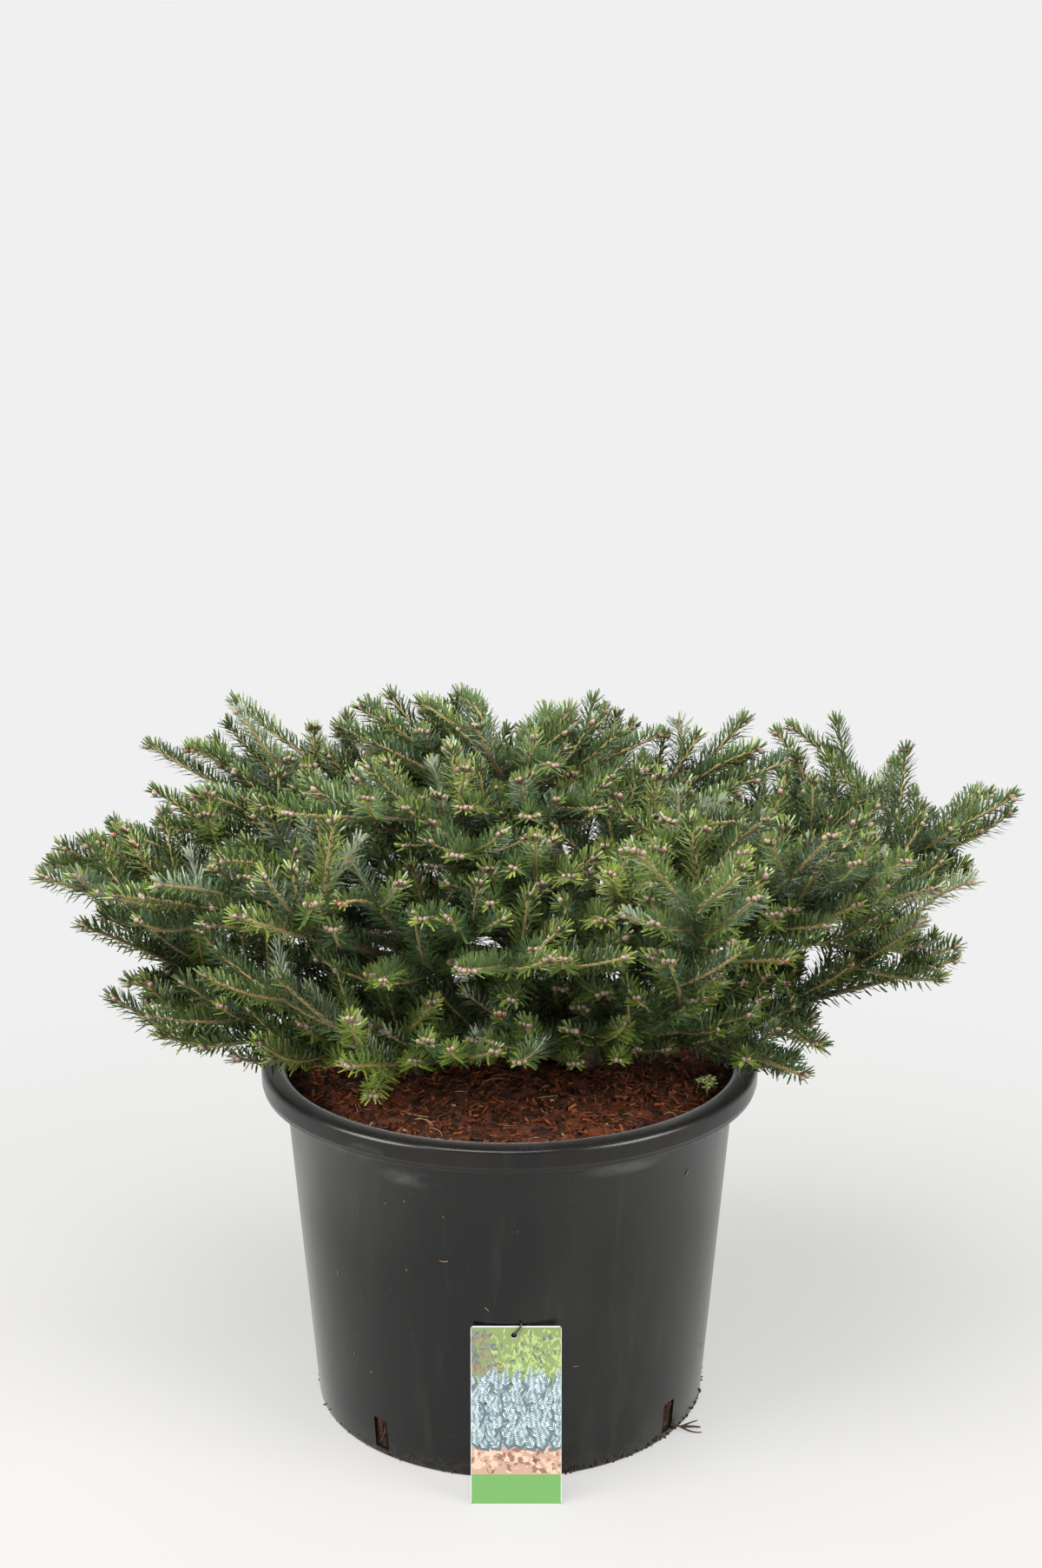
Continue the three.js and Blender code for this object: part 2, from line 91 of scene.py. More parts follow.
TIERS = {
    "low": dict(
        feet=(292, 318), share=0.3, radius=6.2, under=False,
        tips=[(351, 328, 370), (325, 246, 308), (298, 236, 392), (268, 226, 352), (238, 240, 342),
              (206, 268, 322), (178, 316, 330), (143, 292, 345), (92, 276, 342), (38, 300, 350)],
    ),
    "mid": dict(
        feet=(344, 369), share=0.32, radius=5.8, under=True,
        tips=[(3, 376, 478), (333, 322, 452), (299, 302, 480), (262, 303, 442), (230, 304, 458),
              (203, 322, 440), (176, 374, 421), (154, 352, 488), (116, 322, 452), (74, 322, 452),
              (29, 362, 466)],
    ),
    "top": dict(
        feet=(396, 416), share=0.26, radius=4.8, under=True,
        tips=[(147, 292, 524), (34, 216, 518), (322, 214, 498), (238, 166, 508)],
    ),
    "crest": dict(
        feet=(428, 436, 446), share=0, radius=4.2, under=False,
        tips=[(136, 158, 541), (66, 132, 536), (200, 44, 543)],
    ),
}
LIMB = dict(end=4.4, bend=0.55, sag=0.24)
leading = sum(len(tier["tips"]) for tier in TIERS.values())
print(f"There are {leading} leading shoots in {len(TIERS)} tiers.")

# %% [markdown]
# ## Where the long shoots end
#
# Between the leading shoots of the boughs stand some hundred long side shoots, and their tips draw the crown's
# outline. A rule could scatter them evenly, but then it would be any fir. Listed tips keep what is particular
# to this one: the long arms to both sides, the dips along the top, the heads that face forward.
# The picks are places in the camera's frame, in pixels across and down, with a depth in millimetres behind
# the pot's axis. Where three more numbers follow, the shoot passes that point on its way.

# %% Tips of the long shoots
FRAME = dict(width=1200, height=1805)
SEEN_FORKS = [
    (39, 1006, -113, 125, 1033, -85), (207, 918, -20), (287, 927, -60), (167, 904, -30, 215, 934, -25),
    (240, 991, -120), (86, 1062, -90, 150, 1087, -65), (224, 1064, -130), (157, 1123, -60),
    (200, 1123, -110), (158, 1123, -95, 215, 1167, -70), (270, 807, 60, 291, 842, 55),
    (149, 962, -80, 182, 1010, -70), (292, 1140, -150), (311, 1116, -190),
    (287, 1194, -150, 345, 1222, -130), (300, 1000, -220), (440, 1130, -230), (490, 1195, -210),
    (767, 1100, -240), (830, 1117, -220), (620, 1090, -240), (965, 956, -180, 925, 995, -150),
    (1050, 988, -180, 1006, 1013, -140), (1069, 1056, -115, 1027, 1085, -95),
    (1129, 1010, -64, 1075, 1035, -50), (1071, 920, 40), (934, 1164, -30, 895, 1168, -25),
    (995, 1038, -150, 955, 1055, -120), (901, 830, 100, 965, 878, 90), (952, 854, 95, 957, 885, 88),
    (1030, 902, 95, 1030, 932, 85), (1006, 953, -60, 998, 985, -50), (1000, 945, 40), (885, 895, 60),
    (925, 905, 90), (850, 868, 80), (808, 838, 70), (768, 835, 90), (650, 818, 80), (583, 848, 60),
    (540, 794, 95), (513, 802, 95), (553, 803, 110), (432, 822, 60), (420, 850, 30), (240, 935, 30),
    (255, 915, 60), (262, 880, 50, 292, 905, 45), (190, 945, 10, 222, 985, 5),
    (150, 1058, -140, 196, 1072, -120), (262, 1216, -120, 310, 1222, -100),
    (1095, 985, -10, 1052, 1012, -5), (848, 868, 90, 866, 905, 80), (777, 820, 95, 786, 860, 85),
    (523, 797, 98, 528, 835, 90), (1112, 1086, -80, 1060, 1104, -60),
]
# Shoots that end outwards, with their buds and a ring of needles towards whoever stands before them.
SEEN_FACING = [
    (490, 1195, -180), (543, 1200, -180), (385, 1180, -160), (438, 1133, -200), (533, 1112, -205),
    (648, 1140, -160), (620, 1097, -160), (700, 1145, -200), (768, 1095, -200), (800, 1140, -200),
    (828, 1118, -205), (562, 1040, -200), (232, 1065, -170), (170, 1018, -150), (225, 1063, -170),
    (240, 990, -150), (287, 927, -120), (320, 936, -200), (690, 930, -120), (610, 940, -140),
    (590, 1000, -200), (660, 1010, -200), (530, 930, -140), (520, 985, -190), (770, 1020, -220),
    (700, 1060, -220), (480, 1060, -220), (385, 1040, -220), (870, 945, -110), (640, 880, -70),
    (677, 944, -60), (495, 998, -140), (614, 831, 70), (640, 823, 95), (768, 842, 70), (858, 908, 60),
    (731, 853, 60), (1073, 1085, -90),
]
# More of both kinds, most of them at the back and the sides: azimuth, reach and height.
FORKS = [
    (182, 355, 446), (188, 322, 457), (206, 306, 441), (198, 322, 358, 199, 255, 315), (283, 277, 514),
    (15, 376, 462), (355, 232, 286, 354, 200, 297), (348, 202, 272, 350, 176, 287),
    (339, 254, 380, 341, 232, 359), (343, 275, 397, 344, 257, 374), (26, 213, 515, 22, 233, 479),
    (60, 300, 400), (108, 305, 405), (125, 316, 395), (165, 310, 385), (92, 300, 470), (52, 330, 440),
    (135, 300, 470), (75, 250, 505), (110, 250, 510), (20, 300, 400), (2, 352, 452),
    (3, 374, 466, 3, 334, 439),
]
FACING = [
    (326, 258, 423), (328, 236, 413), (320, 239, 401), (307, 235, 424),
]
SEED = 47
picked = len(SEEN_FORKS) + len(SEEN_FACING) + len(FORKS) + len(FACING)
print(f"{picked} tips of long shoots are listed.")

# %% [markdown]
# ## Materials
#
# Plastic, bark and bark mix differ in colour, gloss and grain. A picture could bring all three, but it would
# fade when seen close and would have to be laid round every shape. Noise in the object's own space has no
# seam and any scale, so each finish here is a few nodes on a Principled shader. A small class gives the nodes
# short words. Colours are linear red, green and blue.


# %% Helpers for materials
def new_material(name, colour, roughness, coat=0.0, specular=0.5):
    material = bpy.data.materials.new(name)
    material.use_nodes = True
    shader = material.node_tree.nodes["Principled BSDF"]
    shader.inputs["Base Color"].default_value = (*colour, 1)
    shader.inputs["Roughness"].default_value = roughness
    shader.inputs["Specular IOR Level"].default_value = specular
    shader.inputs["Coat Weight"].default_value = coat
    shader.inputs["Coat Roughness"].default_value = 0.2
    return material


class Graph:
    """Short words for the nodes of one material."""

    def __init__(self, material):
        self.tree = material.node_tree
        self.shader = self.tree.nodes["Principled BSDF"]
        self.place = self.tree.nodes.new("ShaderNodeTexCoord").outputs["Object"]

    def node(self, kind, inputs, output=0, **settings):
        node = self.tree.nodes.new("ShaderNode" + kind)
        for name, value in settings.items():
            setattr(node, name, value)
        for name, value in inputs.items():
            if isinstance(value, bpy.types.NodeSocket):
                self.tree.links.new(value, node.inputs[name])
            else:
                node.inputs[name].default_value = value
        return node.outputs[output]

    def noise(self, scale, detail=3.0, stretch=(1, 1, 1)):
        place = self.node("Mapping", {"Vector": self.place, "Scale": stretch})
        return self.node("TexNoise", {"Vector": place, "Scale": scale, "Detail": detail})

    def math(self, operation, a, b=0.0):
        return self.node("Math", {0: a, 1: b}, operation=operation)

    def fade(self, value, start, end):
        """Goes from 0 to 1 as the value goes from start to end."""
        return self.node("MapRange", {"Value": value, "From Min": start, "From Max": end})

    def ramp(self, value, *stops):
        node = self.tree.nodes.new("ShaderNodeValToRGB")
        for element, (position, colour) in zip(node.color_ramp.elements, stops):
            element.position, element.color = position, (*colour, 1)
        self.tree.links.new(value, node.inputs["Fac"])
        return node.outputs["Color"]

    def blend(self, part, below, above):
        inputs = {"Factor": part}
        for name, colour in (("A", below), ("B", above)):
            inputs[name] = colour if isinstance(colour, bpy.types.NodeSocket) else (*colour, 1)
        node = self.tree.nodes.new("ShaderNodeMix")
        node.data_type = "RGBA"
        for name, value in inputs.items():
            socket = next(s for s in node.inputs if s.name == name and s.enabled)
            if isinstance(value, bpy.types.NodeSocket):
                self.tree.links.new(value, socket)
            else:
                socket.default_value = value
        return next(s for s in node.outputs if s.enabled)

    def finish(self, colour=None, roughness=None, height=None, depth=0.0):
        for name, value in (("Base Color", colour), ("Roughness", roughness)):
            if value is not None:
                self.tree.links.new(value, self.shader.inputs[name])
        if height is not None:
            bump = self.node("Bump", {"Height": height, "Distance": depth, "Strength": 1.0})
            self.tree.links.new(bump, self.shader.inputs["Normal"])


print("Materials can be made.")

# %% [markdown]
# ## Meshes
#
# A fir has over a hundred thousand needles, and an operator call for each would take hours. Such repeated
# small things are worked out as arrays of corners and joined, each kind apart. The pot, the surface of the
# mix and the card, of which there is one each, are made with bmesh operators further down. A twig or a bough
# is a tube: rings of points across a path, turned as little as possible on the way.


# %% Helpers for meshes
def unit(vector):
    return vector / np.linalg.norm(vector, axis=-1, keepdims=True)


class Pile:
    """Points, triangles and material numbers that are gathered into one mesh."""

    def __init__(self):
        self.points, self.faces, self.numbers, self.count = [], [], [], 0

    def add(self, points, faces, numbers):
        points, faces = np.asarray(points, float).reshape(-1, 3), np.asarray(faces, int).reshape(-1, 3)
        self.points.append(points)
        self.faces.append(faces + self.count)
        self.numbers.append(np.broadcast_to(numbers, len(faces)))
        self.count += len(points)

    def size(self):
        return sum(len(faces) for faces in self.faces)

    def mesh(self, name, materials, smooth=True):
        mesh = bpy.data.meshes.new(name)
        mesh.from_pydata(np.concatenate(self.points) * MM, [], np.concatenate(self.faces))
        for material in materials:
            mesh.materials.append(material)
        mesh.polygons.foreach_set("material_index", np.concatenate(self.numbers).astype(np.int32))
        mesh.polygons.foreach_set("use_smooth", np.full(len(mesh.polygons), smooth))
        mesh.update()
        return mesh

    def make(self, name, materials, slot, nodes=(), smooth=True):
        return place(bpy.data.objects.new(name, self.mesh(name, materials, smooth)), slot, nodes)


def place(piece, slot, nodes=()):
    scene.collection.objects.link(piece)
    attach(piece, "root")
    if nodes:
        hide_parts(*nodes)
    return piece


def ring_faces(rings, sides):
    """Triangles of a tube of rings with the same number of sides, and of the point that closes its end."""
    i, j = np.meshgrid(np.arange(rings - 1), np.arange(sides), indexing="ij")
    a, b = i * sides + j, i * sides + (j + 1) % sides
    quads = np.stack([a, b, b + sides, a + sides], -1).reshape(-1, 4)
    last, tip = (rings - 1) * sides, rings * sides
    k = np.arange(sides)
    end = np.stack([last + k, last + (k + 1) % sides, np.full(sides, tip)], -1)
    return np.concatenate([quads[:, [0, 1, 2]], quads[:, [0, 2, 3]], end])


# %% Tubes
def frames_along(path):
    """Headings along a path, and two directions across it that turn as little as they can."""
    headings = unit(np.gradient(path, axis=0))
    side = np.cross(headings[0], [0.3, 0.2, 1.0])
    sides = []
    for heading in headings:
        side = unit(side - heading * (side @ heading))
        sides.append(side)
    sides = np.array(sides)
    return headings, sides, np.cross(headings, sides)


def tube(path, radii, sides, relief=0.0, grain=6.0):
    """Points and triangles of a tapering tube. Relief is the depth of its bark as a part of its radius."""
    headings, across, other = frames_along(path)
    turn = 2 * math.pi * np.arange(sides) / sides
    rays = across[:, None] * np.cos(turn)[:, None] + other[:, None] * np.sin(turn)[:, None]
    radii = np.broadcast_to(np.asarray(radii, float)[:, None], rays.shape[:2]).copy()
    if relief:
        for i, point in enumerate(path):
            for j in range(sides):
                spot = Vector(point / grain) + Vector(rays[i, j]) * 2.0
                radii[i, j] *= 1 + relief * (noise.noise(spot) + 0.5 * noise.noise(spot * 2.7))
    points = path[:, None] + rays * radii[..., None]
    end = path[-1] + headings[-1] * radii[-1].mean() * 0.6
    return np.concatenate([points.reshape(-1, 3), [end]]), ring_faces(len(path), sides)


print("Piles and tubes can be made.")

# %% [markdown]
# ## Camera
#
# The plant is seen from 1.6 m away, a little from above, with a normal lens. The camera could be aimed with a
# constraint at an empty, but its place and tilt are known, so they are simply set.

# %% The camera
camera = bpy.data.objects.new("camera", bpy.data.cameras.new("camera"))
camera.data.lens = 50
camera.data.sensor_width = 36
camera.location = (0.0087, -1.5886, 0.8702)
camera.rotation_euler = (math.radians(90 - 13.507), 0, 0)
scene.collection.objects.link(camera)
scene.camera = camera
print(f"The camera stands {abs(camera.location.y):.1f} m in front of the pot.")

# %% [markdown]
# ## Light
#
# The plant stands in a white studio with soft light from above and from both sides. A uniform white world
# would light the inside of the crown as much as its top, and the needles would go flat. So the sky is white
# only near the horizon, where it is the backdrop, and dimmer overhead. Four broad lamps give the direction.

# %% Sky and lamps
BACKGROUND = (0.87, 0.87, 0.87)
SKY = dict(horizon_to=0.13, overhead_from=0.4, overhead=(0.27, 0.28, 0.29))
world = bpy.data.worlds.new("studio")
world.use_nodes = True
tree = world.node_tree
direction = tree.nodes.new("ShaderNodeTexCoord")
split = tree.nodes.new("ShaderNodeSeparateXYZ")
sky_ramp = tree.nodes.new("ShaderNodeValToRGB")
sky_ramp.color_ramp.elements[0].position = SKY["horizon_to"]
sky_ramp.color_ramp.elements[0].color = (*BACKGROUND, 1)
sky_ramp.color_ramp.elements[1].position = SKY["overhead_from"]
sky_ramp.color_ramp.elements[1].color = (*SKY["overhead"], 1)
tree.links.new(direction.outputs["Generated"], split.inputs["Vector"])
tree.links.new(split.outputs["Z"], sky_ramp.inputs["Fac"])
tree.links.new(sky_ramp.outputs["Color"], tree.nodes["Background"].inputs["Color"])
scene.world = world
scene.view_settings.view_transform = "Standard"
scene.view_settings.look = "None"


def add_lamp(name, location, target, size, power):
    lamp = bpy.data.objects.new(name, bpy.data.lights.new(name, "AREA"))
    lamp.data.size = size
    lamp.data.energy = power
    lamp.location = location
    lamp.rotation_euler = (Vector(target) - Vector(location)).to_track_quat("-Z", "Y").to_euler()
    scene.collection.objects.link(lamp)


LOW_CROWN = (0, 0, 0.35)
OVER_RIM = (0, 0, 0.3)
add_lamp("overhead", (-0.3, -0.9, 2.6), LOW_CROWN, 1.6, 84)
add_lamp("right", (2.1, -1.2, 1.5), OVER_RIM, 1.4, 80)
add_lamp("left", (-2.1, -1.1, 1.5), OVER_RIM, 1.4, 85)
add_lamp("behind", (0.6, 2.2, 1.7), LOW_CROWN, 1.6, 16)

# %% [markdown]
# ## Floor
#
# The floor is a pale paper sheet with no visible edge. A small sheet would end in a line behind the pot, and a
# bent backdrop would need its own light. A wide disc does it whose material fades, with the distance from the
# pot, from a matt surface that takes the shadow to one that glows like the backdrop. Even next to the pot part
# of it glows, which paints light into the shadows there.

# %% The floor
# glow: the part that glows even next to the pot, painted light that softens the floor's shadows.
FLOOR = dict(radius=5.0, sides=96, fade_from=0.3, fade_to=1.1, glow=0.55, colour=(0.412, 0.399, 0.374))
bpy.ops.mesh.primitive_circle_add(vertices=FLOOR["sides"], radius=FLOOR["radius"], fill_type="NGON")
floor = bpy.context.object
floor.name = "floor"
material = new_material("floor_sheet", FLOOR["colour"], 0.8, specular=0.2)
tree = material.node_tree
place_node = tree.nodes.new("ShaderNodeTexCoord")
distance = tree.nodes.new("ShaderNodeVectorMath")
distance.operation = "LENGTH"
fade = tree.nodes.new("ShaderNodeMapRange")
fade.interpolation_type = "SMOOTHSTEP"
fade.inputs["From Min"].default_value = FLOOR["fade_from"]
fade.inputs["From Max"].default_value = FLOOR["fade_to"]
fade.inputs["To Min"].default_value = FLOOR["glow"]
glow = tree.nodes.new("ShaderNodeEmission")
glow.inputs["Color"].default_value = (*BACKGROUND, 1)
mixer = tree.nodes.new("ShaderNodeMixShader")
tree.links.new(place_node.outputs["Object"], distance.inputs[0])
tree.links.new(distance.outputs["Value"], fade.inputs["Value"])
tree.links.new(fade.outputs["Result"], mixer.inputs["Fac"])
tree.links.new(tree.nodes["Principled BSDF"].outputs["BSDF"], mixer.inputs[1])
tree.links.new(glow.outputs["Emission"], mixer.inputs[2])
tree.links.new(mixer.outputs["Shader"], tree.nodes["Material Output"].inputs["Surface"])
floor.data.materials.append(material)
print(f"The floor fades out over {FLOOR['fade_from']} to {FLOOR['fade_to']} m from the pot.")

# %% [markdown]
# ## The lines that everything grows on
#
# On a fir the trunk decides where a bough can start, and a bough runs level before its end turns to the
# light. Such lines could be drawn as Blender curves, but every shoot asks them for a place and a heading at
# some part of their length, and arrays answer that quickly. So the trunk is a smooth line through five
# places, and each limb a curve with one bend. The dice are those of the CAD source, so its side shoots come
# out the same here.


# %% Lines of the trunk and the limbs
def dice(seed):
    state = seed * 7919 + 12345
    while True:
        state = state * 16807 % 2147483647
        yield state / 2147483647


def polar(azimuth, radius, height):
    turn = math.radians(azimuth)
    return np.array([CROWN["x"] + radius * math.cos(turn), CROWN["y"] + radius * math.sin(turn), height])


def mix(start, end, part):
    return start + (end - start) * part


def smooth_through(points, steps):
    """A centripetal Catmull-Rom line through the points."""
    points = np.array(points, float)
    padded = np.concatenate([[2 * points[0] - points[1]], points, [2 * points[-1] - points[-2]]])
    line = []
    for p0, p1, p2, p3 in zip(padded, padded[1:], padded[2:], padded[3:]):
        d0, d1, d2 = (math.sqrt(np.linalg.norm(b - a)) for a, b in ((p0, p1), (p1, p2), (p2, p3)))
        m1 = ((p1 - p0) / d0 - (p2 - p0) / (d0 + d1) + (p2 - p1) / d1) * d1
        m2 = ((p2 - p1) / d1 - (p3 - p1) / (d1 + d2) + (p3 - p2) / d2) * d1
        for t in np.arange(steps) / steps:
            line.append(
                (2 * t**3 - 3 * t**2 + 1) * p1 + (t**3 - 2 * t**2 + t) * m1
                + (3 * t**2 - 2 * t**3) * p2 + (t**3 - t**2) * m2
            )
    return np.array([*line, points[-1]])


def bent(start, bend, end, steps):
    """A curve from start to end that is drawn towards one bend."""
    t = np.linspace(0, 1, steps)[:, None]
    return (1 - t) ** 2 * start + 2 * t * (1 - t) * bend + t**2 * end


class Line:
    """Points along a curve that can be asked for by their part of its length."""

    def __init__(self, points):
        self.points = np.asarray(points, float)
        self.along = np.r_[0, np.cumsum(np.linalg.norm(np.diff(self.points, axis=0), axis=1))]
        self.length = self.along[-1]

    def at(self, part):
        spots = np.clip(part, 0, 1) * self.length
        return np.stack([np.interp(spots, self.along, self.points[:, k]) for k in range(3)], -1)

    def heading(self, part):
        return unit(self.at(min(part + 0.01, 1)) - self.at(max(part - 0.01, 0)))


soil_top = SOIL["mound_height"] + GAP
heights = np.linspace(soil_top, TRUNK["top"], len(TRUNK_PATH))
trunk_points = smooth_through([(x, y, z) for (x, y), z in zip(TRUNK_PATH, heights)], 12)


def trunk_at(height):
    part = (height - soil_top) / (TRUNK["top"] - soil_top)
    spot = part * (len(trunk_points) - 1)
    return np.array([np.interp(spot, np.arange(len(trunk_points)), trunk_points[:, k]) for k in range(3)])


def limb_line(tier, index):
    foot = trunk_at(tier["feet"][index % len(tier["feet"])])
    tip = polar(*tier["tips"][index])
    bend = mix(foot, tip, LIMB["bend"])
    bend[2] = mix(foot[2], tip[2], LIMB["bend"] - LIMB["sag"])
    return Line(bent(foot, bend, tip, 80))


branches = []
for name, tier in TIERS.items():
    for index in range(len(tier["tips"])):
        branches.append(dict(name=name, number=index + 1, tier=tier, line=limb_line(tier, index)))
print(f"The longest limb is {max(branch['line'].length for branch in branches):.0f} mm long.")

# %% [markdown]
# ## Where a shoot may grow
#
# Shoots of a living fir keep apart, because one in the shade of the next stays short or dies. All of them
# could be grown freely and trimmed at the crown's outline afterwards, but a cut shoot has no buds and looks
# clipped. So each new path is tried first against the crown's reach, the pot's rim, the openings where the
# sky shows through, and its neighbours. Where it fails, it is grown shorter or left out.

# %% Rules of growth
GROWTH = dict(
    clearance=10.5,     # least distance between the outer part of a shoot and other shoots
    needle_reach=9.0,   # needles stand out past the tip by this much
    side_node=0.42,     # place of a side shoot's own node
    one_year=62,        # a shorter side shoot has no node of its own
    side_share=(0.46, 0.66),
    side_spread=(40, 56),
    rise=28,            # degrees that a side shoot turns up along its length
    shortest=26,
    shrinks=(1, 0.86, 0.72, 0.6),
    point_every=7,
)
ROOM = dict(
    over_soil=7,        # a shoot stays this far above the mix
    past_rim=12,        # this far outside the rim it may hang lower
    lowest=240,
    over_rim=12,
    rim_middle=182,     # radius of the rim's ring, and half its breadth
    rim_half=18,
)
rng = np.random.default_rng(SEED)
shoots = []
taken = np.zeros((0, 3))
owners = np.zeros(0, int)
outer_low = np.array([*cad_low]) / MM
outer_high = np.array([*cad_high]) / MM
print(f"Shoots grow between {outer_low.round()} and {outer_high.round()} mm.")

# %% What the camera sees
# Where the sky shows past or through the crown: x and z in the plane y = 0, and the clear radius.
OPENINGS = [
    (-85, 359, 15), (-15, 355, 11), (-14, 548, 22), (108, 550, 22), (166, 534, 24), (273, 520, 22),
    (-172, 531, 24), (328, 387, 17), (269, 317, 24), (-201, 260, 20),
]
eye = np.array(camera.location) / MM


def seen_flat(points):
    """Where the camera sees points, as x and z in the plane y = 0."""
    part = -eye[1] / (points[:, 1] - eye[1])
    return (eye + (points - eye) * part[:, None])[:, [0, 2]]


def at_pixel(across, down, depth=0.0):
    """The place at a depth behind the pot's axis that the camera sees at a pixel."""
    focal = camera.data.lens / camera.data.sensor_width * FRAME["height"]
    ray = Vector(((across - FRAME["width"] / 2) / focal, (FRAME["height"] / 2 - down) / focal, -1))
    ray = np.array(camera.rotation_euler.to_matrix() @ ray)
    return eye + ray * (depth - eye[1]) / ray[1]


def eye_to(x, z, depth):
    """The place at a depth that the camera sees at x and z in the plane y = 0."""
    return eye + (np.array([x, 0, z]) - eye) * (1 - depth / eye[1])


def blocks_sky(path):
    """True if the path, seen from the camera, lies in front of one of the openings."""
    seen = seen_flat(path)
    return any((np.hypot(*(seen - (x, z)).T) < radius).any() for x, z, radius in OPENINGS)


print(f"The sky shows through at {len(OPENINGS)} openings.")


# %% Room for a shoot
def in_bounds(path):
    """True if the path keeps inside the crown, and above the soil and the pot's rim."""
    flat = np.hypot(path[:, 0] - CROWN["x"], path[:, 1] - CROWN["y"])
    out = np.hypot(path[:, 0], path[:, 1])
    near = GROWTH["needle_reach"]
    inside = out < POT["rim"] + ROOM["past_rim"]
    over_soil = np.where(inside, SOIL["mound_height"] + ROOM["over_soil"], ROOM["lowest"])
    at_rim = abs(out - ROOM["rim_middle"]) < ROOM["rim_half"] + near * 0.4
    rim = at_rim & (path[:, 2] < POT["height"] + ROOM["over_rim"])
    return bool(
        (flat < CROWN["reach"] - near).all()
        and (path[:, 2] > over_soil).all()
        and (path[:, 2] < outer_high[2] - near).all()
        and (path[:, :2] > outer_low[:2] + near * 0.7).all()
        and (path[:, :2] < outer_high[:2] - near * 0.7).all()
        and not rim.any()
    )


def has_room(path, own):
    """True if the outer part of the path is clear of every other shoot."""
    outer = path[len(path) // 3:]
    others = taken[owners != own]
    gaps = np.linalg.norm(others[None] - outer[:, None], axis=-1)
    return bool(gaps.min() > GROWTH["clearance"])


def keep(path, age, branch, order, tip=True, widths=(1.3, 1.0)):
    """Takes a path into the plant as a shoot. Widths are its radii at the foot and the end."""
    global taken, owners
    shoot = dict(path=path, age=age, branch=branch, order=order, tip=tip, widths=widths)
    shoot["length"] = float(np.linalg.norm(np.diff(path, axis=0), axis=1).sum())
    shoots.append(shoot)
    taken = np.concatenate([taken, path])
    owners = np.concatenate([owners, np.full(len(path), len(shoots))])
    return shoot


print(f"A shoot keeps {GROWTH['clearance']} mm clear of the others.")


# %% One shoot
def across(heading):
    """The level direction across a heading, and the one that rises from it."""
    level = np.cross(heading, UP)
    level = unit(level) if np.linalg.norm(level) > 1e-3 else np.array([1.0, 0, 0])
    return level, np.cross(level, heading)


def headed(heading, spread, roll):
    """A direction that spreads from a heading by some degrees, rolled round it from its upper side."""
    level, above = across(heading)
    spread, roll = math.radians(spread), math.radians(roll)
    return heading * math.cos(spread) + (above * math.cos(roll) + level * math.sin(roll)) * math.sin(spread)


def shoot_path(start, heading, length, rise):
    """A path that sets out along the heading and turns up by some degrees along its length."""
    steps = max(4, int(length / GROWTH["point_every"]))
    path, direction = [np.array(start)], unit(np.array(heading))
    for _ in range(steps):
        path.append(path[-1] + direction * length / steps)
        sideways = np.linalg.norm(direction[:2])
        direction = unit(direction + UP * math.radians(rise / steps) * sideways)
    return np.array(path)


def try_shoot(start, heading, length, rise, age, branch, order, own, **facts):
    """Grows a shoot at its full length or shorter, where it finds room."""
    for shrink in GROWTH["shrinks"]:
        if length * shrink < GROWTH["shortest"]:
            return None
        path = shoot_path(start, heading, length * shrink, rise)
        if in_bounds(path) and not blocks_sky(path) and has_room(path, own):
            return keep(path, age, branch, order, **facts)
    return None


print("A shoot that finds no room is tried at", *GROWTH["shrinks"][1:], "of its length.")

# %% [markdown]
# ## Side shoots
#
# A young fir adds one length to every shoot each year, and sets a pair or ring of side shoots where the new
# length starts. A side shoot of some length is therefore two years old itself: an older half, and a fan of
# young shoots at its node. It could be copied from one modelled spray, but then the same spray would be
# seen a hundred times. A function draws each anew from a few spans of angles and lengths.

# %% Side shoots with their fans
FAN = dict(rolls=(-84, 84, 4), top=4, bare_top=0.6, top_spread=0.8, turn_span=22, older=(1.6, 1.35))


def side_branch(start, heading, length, branch, own):
    """A side shoot of two years: an older half, and a fan of young shoots at its node."""
    if length < GROWTH["one_year"]:
        return try_shoot(start, heading, length, GROWTH["rise"], 1, branch, 2, own)
    inner = length * GROWTH["side_node"]
    rise = GROWTH["rise"] / 2
    older = try_shoot(start, heading, inner, rise, 2, branch, 2, own, tip=False, widths=FAN["older"])
    if older is None:
        return None
    number, end = len(shoots), older["path"][-1]
    onward = unit(older["path"][-1] - older["path"][-2])
    try_shoot(end, onward, length - inner, rise, 1, branch, 3, number)
    for roll in FAN["rolls"]:
        on_top = roll == FAN["top"]
        if on_top and rng.random() < FAN["bare_top"]:
            continue
        share = mix(*GROWTH["side_share"], rng.random())
        spread = mix(*GROWTH["side_spread"], rng.random()) * (FAN["top_spread"] if on_top else 1)
        turn = roll + FAN["turn_span"] * (rng.random() - 0.5)
        try_shoot(end, headed(onward, spread, turn), length * share, GROWTH["rise"], 1, branch, 3, number)
    return older


print(f"A side shoot over {GROWTH['one_year']} mm has a fan of young shoots.")

# %% The side shoots of the CAD source
SIDE = dict(
    length=98, of_stem=0.6, taper=0.14, spans=(0.88, 1.1), spread=54, spread_span=7, rolls=(-70, 70, 0),
    between=(-90, 90, 20), under=180, roll_span=14, stagger=7,
)
NODES = (0.04, 0.23, 0.42)


